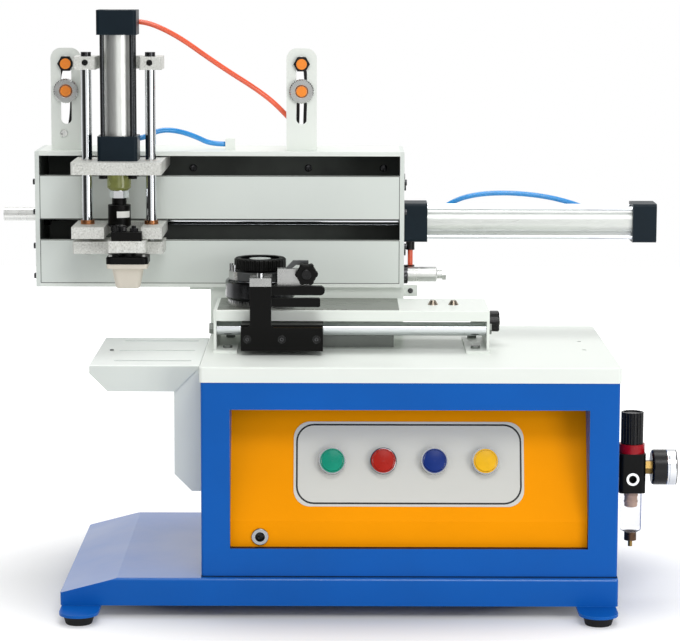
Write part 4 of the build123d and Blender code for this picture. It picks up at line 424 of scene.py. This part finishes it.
paint("ink_cup", cup_steel, (satin, lambda c, n: c.z < 323))
paint("cup_cap", black)
paint(
    "cup_fittings", chrome, (lever_grey, lambda c, n: c.z > 365.9 and c.x > -50),
    (gloss_black, lambda c, n: c.z < 300),
)
paint("cup_knob", black)
paint("bed_knob", gloss_black)
paint("carriage_rails", rod_chrome)
paint("end_stops", black_screw, (bright, lambda c, n: c.x < -346.5 or c.x > 92.5 or (-300 < c.x < -279)))
paint("x_cylinder_caps", cap_navy)
paint("z_cylinder_caps", cap_navy, (gloss_black, lambda c, n: c.y > 54.2))
paint(
    "x_cylinder_barrel", barrel_x, (steel_dark, lambda c, n: c.x > 373.5),
    (rod_chrome, lambda c, n: on_tie_rods(c.y, c.z, (104.5, 137.5), (383.5, 416.5))),
)
# The tie rods of the upright cylinder are painted dark: painted shade and dark reflection
paint(
    "z_cylinder_barrel", barrel_z, (steel_dark, lambda c, n: c.z > 642),
    (tie_rod_painted_shade, lambda c, n: on_tie_rods(c.x, c.y, (-255.5, -222.5), (15, 48))),
)
paint("carriage_block", steel_dark)
paint("carriage_plates", blasted)
paint(
    "carriage_bushings",
    bronze,
    (resin, lambda c, n: -253 < c.x < -225 and reach(c, x=PRESS_X, y=PRESS_Y) < 14.2),
    (black, lambda c, n: reach(c, x=PRESS_X, y=PRESS_Y) >= 14.2 and 457 < c.z < 464 and -262 < c.x < -216),
)
paint("x_piston_rod", rod_chrome)
paint("z_piston_rod", chrome)
paint("pad_guide_rods", rod_chrome)
paint("rod_clamp_bar", blasted, (black_screw, lambda c, n: c.z > 593.55 or c.z < 373.45))
paint("pad_plate", blasted)
paint("rod_coupler", black)
paint("pad_mount", black)
paint("silicone_pad", silicone)
paint(
    "position_sensors",
    chrome,
    (gloss_black, lambda c, n: c.z > 573 and c.y > 84.8),
    (sensor_orange, on_sensor_face),
)
paint(
    "regulator_body",
    black,
    (red_ring, lambda c, n: c.z > 165.1),
    (chrome, lambda c, n: c.y < -91 and reach(c, x=REGULATOR_X, z=137.5) < 7.0),
)
paint(
    "regulator_bowl", clear, (brass, lambda c, n: c.z < 67.5),
    (drain_dark, lambda c, n: 67.5 <= c.z < 77.2 and reach(c, x=REGULATOR_X, y=REGULATOR_Y) < 7.2),
)
paint("regulator_knob", gloss_black)
paint(
    "pressure_gauge",
    gloss_black,
    (brass, lambda c, n: c.x < 353.9 and reach(c, y=REGULATOR_Y, z=GAUGE_Z) < 9),
    (chrome, lambda c, n: c.x > 378.5),
    (dial_white, lambda c, n: n.x > 0.9 and reach(c, y=REGULATOR_Y, z=GAUGE_Z) < 16.6 and c.x > 371.5),
)
paint("air_fittings", gloss_black, (white, lambda c, n: c.x < -20 and c.z > 483))


# Shapes of the trim
def mesh_piece(name, verts, faces, material, body, smooth=False):
    mesh = bpy.data.meshes.new(name)
    mesh.from_pydata([Vector(v) * MM for v in verts], [], faces)
    mesh.validate()
    mesh.update()
    if smooth:
        mesh.polygons.foreach_set("use_smooth", [True] * len(mesh.polygons))
    mesh.materials.append(material)
    piece = bpy.data.objects.new(name, mesh)
    scene.collection.objects.link(piece)
    if body:
        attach(piece, body)
    return piece


def basis(axis):
    axis = Vector(axis).normalized()
    side = axis.orthogonal().normalized()
    return axis, side, axis.cross(side)


def lathe(name, centre, axis, profile, material, body, count=32, sides=None, hollow=False):
    """Turns a profile of (radius, height) in mm round an axis.

    sides makes a polygonal head, and hollow closes the profile on itself as a ring.
    """
    count = sides or count
    axis, side, other = basis(axis)
    centre = Vector(centre)
    verts, faces = [], []
    for r, h in profile:
        for i in range(count):
            a = 2 * math.pi * i / count
            verts.append(centre + axis * h + (side * math.cos(a) + other * math.sin(a)) * r)
    for k in range(len(profile) - 1):
        for i in range(count):
            j = (i + 1) % count
            faces.append((k * count + i, k * count + j, (k + 1) * count + j, (k + 1) * count + i))
    last = (len(profile) - 1) * count
    if hollow:
        for i in range(count):
            j = (i + 1) % count
            faces.append((last + i, last + j, j, i))
    else:
        faces.append(tuple(reversed(range(count))))
        faces.append(tuple(last + i for i in range(count)))
    return mesh_piece(name, verts, faces, material, body)


def cross_screw(name, centre, axis, radius, material, body):
    """A pan head with a cross recess, standing on its seat."""
    axis, side, other = basis(axis)
    centre = Vector(centre)
    steps = 24
    arm, half = radius * 0.62, radius * 0.13
    rim, verts, faces = [], [], []

    def ring(r, h):
        start = len(verts)
        for i in range(steps):
            a = 2 * math.pi * (i + 0.5) / steps
            verts.append(centre + axis * h + (side * math.cos(a) + other * math.sin(a)) * r)
        return start

    rings = [ring(radius, 0), ring(radius, radius * 0.25), ring(radius * 0.82, radius * 0.55)]
    for a, b in zip(rings, rings[1:]):
        for i in range(steps):
            j = (i + 1) % steps
            faces.append((a + i, a + j, b + j, b + i))
    faces.append(tuple(reversed(range(steps))))
    outline = []
    for q in range(4):
        c, s = math.cos(q * math.pi / 2), math.sin(q * math.pi / 2)
        for x, y in ((half, half), (arm, half), (arm, -half)):
            outline.append((x * c - y * s, x * s + y * c))
    outline = sorted(outline, key=lambda p: math.atan2(p[1], p[0]))
    for level in (0.6, 0.25):
        rim.append(len(verts))
        for x, y in outline:
            verts.append(centre + axis * radius * level + side * x + other * y)
    k = len(outline)
    for i in range(k):
        j = (i + 1) % k
        faces.append((rim[0] + j, rim[0] + i, rim[1] + i, rim[1] + j))
    faces.append(tuple(rim[1] + i for i in range(k)))
    top = rings[-1]
    for i in range(steps):
        a = 2 * math.pi * (i + 0.5) / steps
        b = 2 * math.pi * (i + 1.5) / steps
        near_a = min(
            range(k),
            key=lambda q: abs(math.remainder(math.atan2(outline[q][1], outline[q][0]) - a, 2 * math.pi)),
        )
        near_b = min(
            range(k),
            key=lambda q: abs(math.remainder(math.atan2(outline[q][1], outline[q][0]) - b, 2 * math.pi)),
        )
        if near_a == near_b:
            faces.append((top + i, top + (i + 1) % steps, rim[0] + near_a))
        else:
            walk = [near_a]
            while walk[-1] != near_b and len(walk) < k:
                walk.append((walk[-1] + 1) % k)
            faces.append((top + i, top + (i + 1) % steps) + tuple(rim[0] + q for q in reversed(walk)))
    return mesh_piece(name, verts, faces, material, body)


def rounded(width, height, radius, steps=8):
    points = []
    for cx, cy, start in (
        (width / 2 - radius, height / 2 - radius, 0),
        (-width / 2 + radius, height / 2 - radius, 90),
        (-width / 2 + radius, -height / 2 + radius, 180),
        (width / 2 - radius, -height / 2 + radius, 270),
    ):
        for i in range(steps + 1):
            a = math.radians(start + 90 * i / steps)
            points.append((cx + radius * math.cos(a), cy + radius * math.sin(a)))
    return points


def flat_ring(name, outer, inner, origin, across, up, out, thick, material, body):
    """A thin closed band between two outlines with the same number of points."""
    verts, faces = [], []
    for outline, h in ((outer, 0), (outer, thick), (inner, thick), (inner, 0)):
        for x, y in outline:
            verts.append(origin + across * x + up * y + out * h)
    k = len(outer)
    for a, b in ((0, 1), (1, 2), (2, 3), (3, 0)):
        for i in range(k):
            j = (i + 1) % k
            faces.append((a * k + i, a * k + j, b * k + j, b * k + i))
    return mesh_piece(name, verts, faces, material, body)


def circle(radius, count=48):
    angles = [2 * math.pi * i / count for i in range(count)]
    return [(radius * math.cos(a), radius * math.sin(a)) for a in angles]


def lobed(name, centre, radius, lobes, depth, low, high, material, body, count=72):
    """An upright star knob; depth is the share of the radius that its notches cut away."""
    verts, faces = [], []
    rings = [
        (0.82, low), (1.0, low + 1.0), (1.0, high - 1.2), (0.86, high), (0.42, high), (0.38, high - 0.8),
    ]
    for share, z in rings:
        for i in range(count):
            a = 2 * math.pi * i / count
            notch = depth * (1 - math.cos(lobes * a)) / 2 if share > 0.5 else 0
            r = radius * share * (1 - notch)
            verts.append((centre[0] + r * math.cos(a), centre[1] + r * math.sin(a), z))
    for k in range(len(rings) - 1):
        for i in range(count):
            j = (i + 1) % count
            faces.append((k * count + i, k * count + j, (k + 1) * count + j, (k + 1) * count + i))
    faces.append(tuple(reversed(range(count))))
    faces.append(tuple(range((len(rings) - 1) * count, len(rings) * count)))
    return mesh_piece(name, verts, faces, material, body)


def knurled_nut(name, centre, axis, inner, outer, depth, teeth, material, body):
    """A round nut with a toothed rim, open in the middle."""
    axis, side, other = basis(axis)
    centre = Vector(centre)
    count = teeth * 4
    rings = [
        (inner, 0), (outer - 0.8, 0), (outer, 0.8), (outer, depth - 1.2), (outer - 1.4, depth),
        (inner + 1.6, depth), (inner, depth - 0.8),
    ]
    verts, faces = [], []
    for k, (r, h) in enumerate(rings):
        for i in range(count):
            a = 2 * math.pi * i / count
            cut = 0.45 if k in (2, 3) and i % 4 < 2 else 0
            verts.append(centre + axis * h + (side * math.cos(a) + other * math.sin(a)) * (r - cut))
    for k in range(len(rings)):
        for i in range(count):
            j, m = (i + 1) % count, (k + 1) % len(rings)
            faces.append((k * count + i, k * count + j, m * count + j, m * count + i))
    return mesh_piece(name, verts, faces, material, body)


# Outline on the bare label plate
plate = [v.co * 1000 for v in nodes["label_plate"].data.vertices]
low_u, high_u = min(p.dot(PANEL_U) for p in plate), max(p.dot(PANEL_U) for p in plate)
plate_w, plate_h = 249.0, high_u - low_u
plate_mid = Vector((85.5, 0, 0)) + PANEL_U * ((low_u + high_u) / 2) + PANEL_N * label_d
flat_ring(
    "label_outline", rounded(plate_w - 5.0, plate_h - 5.0, 19.5),
    rounded(plate_w - 8.8, plate_h - 8.8, 17.6), plate_mid - PANEL_N * 0.05, X_AXIS, PANEL_U, PANEL_N, 0.17,
    ink, "frame",
)

# Bare white label on the coupler
verts, faces = [], []
for r in (12.85, 13.05):
    for z in (413.0, 420.2):
        for i in range(13):
            a = math.radians(-98 + 74 * i / 12)
            verts.append((PRESS_X + r * math.cos(a), PRESS_Y + r * math.sin(a), z))
for i in range(12):
    faces += [
        (26 + i, 27 + i, 40 + i, 39 + i), (13 + i, 14 + i, 1 + i, i), (i, i + 1, 27 + i, 26 + i),
        (39 + i, 40 + i, 14 + i, 13 + i),
    ]
faces += [(0, 26, 39, 13), (12, 25, 51, 38)]
mesh_piece("coupler_label", verts, faces, dial_white, "pad_unit")

# Screws of the clamp bar, the bracket, the tray and the pad holder
for side, x in (("left", -275), ("right", -203)):
    cross_screw("clamp_screw_" + side, (x, 19, 587), (0, -1, 0), 3.4, black, "pad_unit")
cross_screw("bracket_screw_left", (-307, 91, 503), (0, -1, 0), 4.6, bright, "frame")
cross_screw("tray_screw", (-246.5, 3, 264.5), (0, 0, 1), 2.4, steel_dark, "frame")
for side, x in (("left", -245.5), ("right", -208.5)):
    lathe(
        "mount_screw_" + side, (x, -16, 373.2), (0, 0, 1), [(2.2, 0), (2.2, 1.6), (1.6, 2.2)], bright,
        "pad_unit", sides=6,
    )

# Coloured rim round each cap, and thin dark bands round the front plates and at the foot of the cabinet:
# painted shadow lines
for n, m in caps.items():
    cap = [v.co * 1000 for v in nodes["button_" + n].data.vertices]
    x = (min(p.x for p in cap) + max(p.x for p in cap)) / 2
    u = (min(p.dot(PANEL_U) for p in cap) + max(p.dot(PANEL_U) for p in cap)) / 2
    place = Vector((x, 0, 0)) + PANEL_U * u + PANEL_N * (label_d + 7.95)
    flat_ring(
        "button_rim_" + n, circle(13.1), circle(11.75), place, X_AXIS, PANEL_U, PANEL_N, 0.5, m, "frame",
    )

# Painted shadow lines round the two front plates of the head
for side, low, high in (("lower", 332.0, 382.7), ("upper", 406.0, 456.5)):
    flat_ring(
        "painted_shadow_line_" + side, rounded(412.6, high - low - 0.4, 0.6, 2), rounded(411.0, high - low - 2.0, 0.3, 2),
        Vector((-127.5, 71.54, (low + high) / 2)), X_AXIS, Z_AXIS, -Y_AXIS, 0.14, painted_shade, "frame",
    )

# Painted shadow line round the foot of the cabinet
flat_ring(
    "foot_painted_shadow_line", rounded(448.5, 317.5, 0.6, 2), rounded(446.0, 315.0, 0.3, 2), Vector((86, 0, 43.0)),
    X_AXIS, Y_AXIS, Z_AXIS, 1.0, shadow_blue, "frame",
)

# Screws on the rear wall of the head, seen through the upper slot, and a drilled tab on the pedestal
for i, x in enumerate((-163, -27, 61.5)):
    cross_screw("wall_screw_%d" % (i + 1), (x, 168.05, 457.7), (0, -1, 0), 4.4, black_screw, "frame")
flat_ring(
    "pedestal_tab", rounded(16.6, 13.6, 2.0), circle(2.3, 36), Vector((91.9, 86.6, 322.8)), X_AXIS, Z_AXIS,
    -Y_AXIS, 2.4, white, "frame",
)
cross_screw("pedestal_tab_screw", (91.9, 84.25, 322.8), (0, -1, 0), 3.0, black_screw, "frame")

# Socket screws of the cup arm
for i, x in enumerate((-91, -53, -15)):
    centre = (x, -78, 289.5)
    lathe(
        "arm_screw_rim_%d" % (i + 1), centre, (0, -1, 0),
        [(3.7, -0.3), (4.3, -0.3), (4.3, 0.15), (4.05, 0.3), (3.7, 0.15)], gloss_black, "cup_carriage",
        hollow=True,
    )
    lathe(
        "arm_socket_%d" % (i + 1), centre, (0, -1, 0),
        [(2.0, -0.2), (2.0, 0.2), (1.5, 0.2), (1.5, -0.1), (1.2, -0.1)], black_screw, "cup_carriage",
        sides=6,
    )

# Bosses of the two star knobs
lathe(
    "cup_knob_boss", (-26, -78.5, 361), (0, -1, 0),
    [(5.6, -0.5), (5.6, 0.7), (4.9, 1.5), (2.4, 1.5), (2.1, 1.1), (0.9, 1.1)], gloss_black, "cup_knob",
    count=40,
)
lathe(
    "bed_knob_boss", (190, 8, 298.5), (1, 0, 0),
    [(4.6, -0.5), (4.6, 0.6), (3.9, 1.2), (2.0, 1.2), (1.7, 0.8), (0.8, 0.8)], bright, "bed_knob", count=40,
)

# Star knob and hexagon nut on the clamp block
lobed("clamp_knob", (-236.0, -15.5), 9.0, 6, 0.34, 401.0, 408.0, gloss_black, "pad_unit")
lathe(
    "clamp_nut", (-219.0, -15.5, 401.0), (0, 0, 1),
    [(5.2, 0), (5.2, 3.6), (4.6, 4.2), (2.6, 4.2), (2.6, 6.4), (2.2, 6.8)], black_screw, "pad_unit",
    sides=6,
)

# Knurled round nuts over the plain nuts of the lower sensors
for side, x in SENSOR_X.items():
    knurled_nut(
        "sensor_nut_" + side, (x, 91, SENSOR_Z["low"]), (0, -1, 0), 6.1, 14.1, 5.6, 30, satin, "frame",
    )

# Filter element seen through the bowl
lathe(
    "filter_element",
    (REGULATOR_X, REGULATOR_Y, 104),
    (0, 0, 1),
    [
        (5.0, 0), (6.6, 1), (6.6, 5), (7.2, 5.5), (7.2, 7), (6.6, 7.5), (6.6, 12), (7.2, 12.5), (7.2, 14),
        (6.6, 14.5), (6.6, 17.3),
    ],
    copper,
    "frame",
)

# Chromed bezel, marks, needle and hub of the pressure gauge
lathe(
    "gauge_bezel",
    (0, REGULATOR_Y, GAUGE_Z),
    (1, 0, 0),
    [
        (19.45, 370.2), (19.9, 370.6), (19.9, 372.2), (19.7, 372.5), (19.9, 372.8), (19.9, 379.4),
        (19.3, 380.4), (17.4, 380.9), (17.4, 370.2),
    ],
    chrome,
    "frame",
    count=64,
    hollow=True,
)
dial_faces = [f for f in nodes["pressure_gauge"].data.polygons if f.normal.x > 0.9]
on_dial = [f.center.x * 1000 for f in dial_faces if reach(f.center * 1000, y=REGULATOR_Y, z=GAUGE_Z) < 12]
dial = Vector((max(on_dial), REGULATOR_Y, GAUGE_Z))


def dial_strip(name, degrees, low, high, outline):
    """A flat strip on the dial; its outline is given along and across the strip."""
    a = math.radians(degrees)
    d, w = Vector((0, math.cos(a), math.sin(a))), Vector((0, -math.sin(a), math.cos(a)))
    verts = [dial + d * r + w * s + X_AXIS * h for h in (low, high) for r, s in outline]
    faces = [(3, 2, 1, 0), (4, 5, 6, 7), (0, 1, 5, 4), (1, 2, 6, 5), (2, 3, 7, 6), (3, 0, 4, 7)]
    mesh_piece(name, verts, faces, ink, "frame")


for i in range(11):
    r0, r1, half = (10.0, 13.2, 0.35) if i % 5 == 0 else (11.3, 13.2, 0.2)
    dial_strip(
        "gauge_mark_%02d" % i, 225 - 27 * i, -0.05, 0.15,
        ((r0, -half), (r1, -half), (r1, half), (r0, half)),
    )
dial_strip("gauge_needle", 200, 0.25, 0.55, ((-3.5, -0.7), (11.5, -0.2), (11.5, 0.2), (-3.5, 0.7)))
lathe("gauge_hub", dial, (1, 0, 0), [(1.5, 0), (1.5, 0.7), (1.1, 1.0)], bright, "frame", count=20)


# Air tubes: the same routes as the solids, in metres
def route_curve(name, points):
    curve = bpy.data.curves.new(name, "CURVE")
    curve.dimensions = "3D"
    curve.resolution_u = 10
    spline = curve.splines.new("NURBS")
    spline.points.add(len(points) - 1)
    for point, place in zip(spline.points, points):
        point.co = (*place, 1.0)
    spline.order_u = 3
    spline.use_endpoint_u = True
    piece = bpy.data.objects.new(name, curve)
    scene.collection.objects.link(piece)
    return piece


def mesh_tube(name, points, radius, material):
    """A tube round the smooth line of a route; returns the line's points as well."""
    guide = route_curve(name + "_route", points)
    bpy.context.view_layer.update()
    line = bpy.data.meshes.new_from_object(guide.evaluated_get(bpy.context.evaluated_depsgraph_get()))
    path = [v.co.copy() for v in line.vertices]
    bpy.data.objects.remove(guide)
    normal = (path[1] - path[0]).orthogonal().normalized()
    verts, faces, count = [], [], 20
    for i, p in enumerate(path):
        t = (path[min(i + 1, len(path) - 1)] - path[max(i - 1, 0)]).normalized()
        normal = (normal - t * normal.dot(t)).normalized()
        other = t.cross(normal)
        for k in range(count):
            a = 2 * math.pi * k / count
            verts.append((p + (normal * math.cos(a) + other * math.sin(a)) * radius) * 1000)
    for i in range(len(path) - 1):
        for k in range(count):
            j = (k + 1) % count
            faces.append((i * count + k, i * count + j, (i + 1) * count + j, (i + 1) * count + k))
    faces.append(tuple(reversed(range(count))))
    faces.append(tuple((len(path) - 1) * count + k for k in range(count)))
    return mesh_piece(name, verts, faces, material, None, smooth=True), path


TOP_ROUTE = [
    (-0.2245, 0.062, 0.63175),
    (-0.2125, 0.062, 0.63175),
    (-0.192, 0.064, 0.6245),
    (-0.168, 0.0685, 0.611),
    (-0.142, 0.074, 0.592),
    (-0.115, 0.080, 0.5735),
    (-0.090, 0.0865, 0.5575),
    (-0.068, 0.094, 0.541),
    (-0.051, 0.104, 0.523),
    (-0.038, 0.121, 0.508),
    (-0.038, 0.121, 0.495),
]
BOTTOM_ROUTE = [
    (-0.2245, 0.062, 0.4995),
    (-0.2145, 0.062, 0.4995),
    (-0.202, 0.067, 0.5065),
    (-0.188, 0.0725, 0.509),
    (-0.171, 0.081, 0.506),
    (-0.154, 0.092, 0.499),
    (-0.139, 0.104, 0.4905),
    (-0.122, 0.104, 0.4905),
]
RIGHT_ROUTE = [
    (0.35475, 0.1515, 0.400),
    (0.33775, 0.1515, 0.400),
    (0.31475, 0.1515, 0.406),
    (0.290, 0.1515, 0.4165),
    (0.262, 0.1515, 0.4245),
    (0.232, 0.1515, 0.429),
    (0.202, 0.1515, 0.4305),
    (0.174, 0.1515, 0.429),
    (0.150, 0.1515, 0.4235),
    (0.130, 0.1515, 0.412),
    (0.113, 0.1515, 0.395),
    (0.095, 0.1515, 0.395),
]
for name, route, length, material, slot, node in (
    ("air_tube_top", TOP_ROUTE, 0.251, tube_orange, "tube_orange", "tube_z_top"),
    ("air_tube_bottom", BOTTOM_ROUTE, 0.118, tube_blue, "tube_blue", "tube_z_bottom"),
):
    tube, path = mesh_tube(name, route, 0.003, material)
    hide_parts(node)
    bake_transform(tube)
arc = route_curve("air_tube_right", RIGHT_ROUTE)
arc.data.bevel_depth = 0.003
arc.data.bevel_resolution = 4
arc.data.use_fill_caps = True
arc.data.materials.append(tube_blue)
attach(arc, "frame")
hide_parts("tube_x_right")
paint("tube_x_left", tube_orange)

# Sensor cables, from the backs of the sensors into the top of the head casing
for name, length, route in (
    (
        "sensor_cable_left_low", 0.090,
        [
            (-304, 118, 552), (-304, 130, 552), (-303.5, 143, 549), (-303.5, 147, 537), (-304, 146, 523),
            (-306, 143, 508), (-307, 142, 496), (-307, 142, 484),
        ],
    ),
    (
        "sensor_cable_left_high", 0.127,
        [
            (-304, 118, 583), (-304, 132, 583), (-311, 145, 581), (-317.5, 149, 570), (-319, 149, 548),
            (-319, 147, 522), (-319, 143, 502), (-319, 142, 484),
        ],
    ),
    (
        "sensor_cable_right_low", 0.090,
        [
            (-34, 118, 552), (-34, 130, 552), (-37, 142, 549), (-39, 147, 538), (-39, 147, 524),
            (-39.5, 145, 508), (-40, 142, 496), (-40, 142, 484),
        ],
    ),
    (
        "sensor_cable_right_high", 0.124,
        [
            (-34, 118, 583), (-34, 132, 583), (-32, 145, 580), (-30, 150, 567), (-30, 150, 545),
            (-31, 148, 520), (-31, 143, 502), (-31, 142, 484),
        ],
    ),
):
    cable = route_curve(name, [(x / 1000, y / 1000, z / 1000) for x, y, z in route])
    cable.data.bevel_depth = 0.002
    cable.data.bevel_resolution = 3
    cable.data.use_fill_caps = True
    cable.data.materials.append(rubber)
    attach(cable, "frame")
    start = route[0]
    sleeve = lathe(
        name + "_sleeve", start, (0, 1, 0),
        [(4.2, -0.6), (4.2, 2.0), (3.4, 3.0), (3.4, 3.8), (3.9, 4.4), (3.2, 5.4), (3.6, 6.0), (2.5, 9.0)],
        rubber, "frame", count=20,
    )
    grommet = lathe(
        name + "_grommet", route[-1], (0, 0, 1), [(5.2, -0.3), (5.2, 1.0), (4.4, 1.9), (2.3, 2.2)], rubber,
        "frame", count=24,
    )


# Floor, background and light
def fill_ramp(node, stops):
    ramp = node.color_ramp.elements
    while len(ramp) < len(stops):
        ramp.new(0.5)
    for element, (place, value) in zip(ramp, stops):
        element.position = place
        element.color = (value, value, value, 1)


def make_floor():
    """A pale floor with the machine's shadow; its glow, seen by the camera and in reflections, is nil near
    the machine and grows away from it, a painted darkening round and under the machine.
    """
    mesh = bpy.data.meshes.new("floor")
    mesh.from_pydata([(-1.5, -1.2, 0), (1.5, -1.2, 0), (1.5, 3.0, 0), (-1.5, 3.0, 0)], [], [(0, 1, 2, 3)])
    floor = bpy.data.objects.new("floor", mesh)
    scene.collection.objects.link(floor)
    m = bpy.data.materials.new("floor")
    m.use_nodes = True
    tree = m.node_tree
    shader = tree.nodes["Principled BSDF"]
    shader.inputs["Roughness"].default_value = 0.9
    shader.inputs["Specular IOR Level"].default_value = 0.0
    shader.inputs["Base Color"].default_value = (0.80, 0.80, 0.80, 1)
    glow = tree.nodes.new("ShaderNodeEmission")
    glow.inputs["Color"].default_value = (1, 1, 1, 1)
    path = tree.nodes.new("ShaderNodeLightPath")
    seen = tree.nodes.new("ShaderNodeMath")
    seen.operation = "ADD"
    seen.use_clamp = True
    tree.links.new(path.outputs["Is Camera Ray"], seen.inputs[0])
    through = tree.nodes.new("ShaderNodeMath")
    through.operation = "MAXIMUM"
    tree.links.new(path.outputs["Is Transmission Ray"], through.inputs[0])
    tree.links.new(path.outputs["Is Glossy Ray"], through.inputs[1])
    tree.links.new(through.outputs[0], seen.inputs[1])
    where = tree.nodes.new("ShaderNodeTexCoord")
    fit = tree.nodes.new("ShaderNodeMapping")
    fit.inputs["Scale"].default_value = (0.78, 1.0, 0)
    fit.inputs["Location"].default_value = (0, -0.02, 0)
    away = tree.nodes.new("ShaderNodeVectorMath")
    away.operation = "LENGTH"
    tree.links.new(where.outputs["Object"], fit.inputs["Vector"])
    tree.links.new(fit.outputs["Vector"], away.inputs[0])
    # Painted shade on the floor: no glow close to the machine, more further out
    spread = tree.nodes.new("ShaderNodeValToRGB")
    fill_ramp(spread, [(0.10, 0.0), (0.165, 0.30), (0.22, 0.46), (0.60, 0.80)])
    half = tree.nodes.new("ShaderNodeMath")
    half.operation = "MULTIPLY"
    half.inputs[1].default_value = 0.5
    tree.links.new(away.outputs["Value"], half.inputs[0])
    tree.links.new(half.outputs[0], spread.inputs["Fac"])
    power = tree.nodes.new("ShaderNodeMath")
    power.operation = "MULTIPLY"
    tree.links.new(seen.outputs[0], power.inputs[0])
    tree.links.new(spread.outputs["Color"], power.inputs[1])
    tree.links.new(power.outputs[0], glow.inputs["Strength"])
    both = tree.nodes.new("ShaderNodeAddShader")
    tree.links.new(shader.outputs[0], both.inputs[0])
    tree.links.new(glow.outputs[0], both.inputs[1])
    tree.links.new(both.outputs[0], tree.nodes["Material Output"].inputs["Surface"])
    mesh.materials.append(m)


def make_world():
    """White to the camera, dimmer as light on the surfaces, with bright and dark cards for reflections."""
    world = bpy.data.worlds.new("studio")
    scene.world = world
    world.use_nodes = True
    tree = world.node_tree
    back = tree.nodes["Background"]
    path = tree.nodes.new("ShaderNodeLightPath")
    where = tree.nodes.new("ShaderNodeTexCoord")
    parts = tree.nodes.new("ShaderNodeSeparateXYZ")
    tree.links.new(where.outputs["Generated"], parts.inputs[0])
    behind = tree.nodes.new("ShaderNodeMapRange")
    behind.interpolation_type = "SMOOTHSTEP"
    behind.inputs["From Min"].default_value = 0.0
    behind.inputs["From Max"].default_value = 0.5
    tree.links.new(parts.outputs["Y"], behind.inputs["Value"])
    across = tree.nodes.new("ShaderNodeMapRange")
    across.inputs["From Min"].default_value = -1.0
    tree.links.new(parts.outputs["X"], across.inputs["Value"])
    cards = tree.nodes.new("ShaderNodeValToRGB")
    stops = [
        (0.0, 0.25), (0.04, 0.03), (0.28, 0.03), (0.40, 0.14), (0.48, 1.0), (0.53, 1.35), (0.60, 1.35),
        (0.66, 0.6), (0.74, 0.16), (0.86, 0.06), (0.96, 0.05), (1.0, 0.2),
    ]
    fill_ramp(cards, stops)
    tree.links.new(across.outputs["Result"], cards.inputs["Fac"])
    room = tree.nodes.new("ShaderNodeMix")
    room.inputs[3].default_value = 1.0
    tree.links.new(behind.outputs["Result"], room.inputs[0])
    tree.links.new(cards.outputs["Color"], room.inputs[2])
    seen = tree.nodes.new("ShaderNodeMath")
    seen.operation = "MAXIMUM"
    tree.links.new(path.outputs["Is Camera Ray"], seen.inputs[0])
    tree.links.new(path.outputs["Is Transmission Ray"], seen.inputs[1])
    gloss = tree.nodes.new("ShaderNodeMix")
    gloss.inputs[2].default_value = 0.62
    tree.links.new(path.outputs["Is Glossy Ray"], gloss.inputs[0])
    tree.links.new(room.outputs[0], gloss.inputs[3])
    level = tree.nodes.new("ShaderNodeMix")
    level.inputs[3].default_value = 1.0
    tree.links.new(seen.outputs[0], level.inputs[0])
    tree.links.new(gloss.outputs[0], level.inputs[2])
    back.inputs["Color"].default_value = (1, 1, 1, 1)
    tree.links.new(level.outputs[0], back.inputs["Strength"])


def make_lamp(name, place, aim, size, power):
    data = bpy.data.lights.new(name, "AREA")
    data.shape = "RECTANGLE"
    data.size, data.size_y = size
    data.energy = power
    lamp = bpy.data.objects.new(name, data)
    scene.collection.objects.link(lamp)
    lamp.location = place
    lamp.rotation_euler = (Vector(aim) - Vector(place)).to_track_quat("-Z", "Y").to_euler()


make_floor()
make_world()
make_lamp("key", (0.35, -1.9, 2.1), (0, 0, 0.3), (1.1, 0.8), 15)
make_lamp("fill", (1.5, -1.9, 0.5), (0, 0, 0.3), (0.9, 0.9), 12)
make_lamp("top", (0, 0.5, 2.4), (0, 0.1, 0.3), (1.6, 1.2), 20.5)
scene.view_settings.view_transform = "Standard"
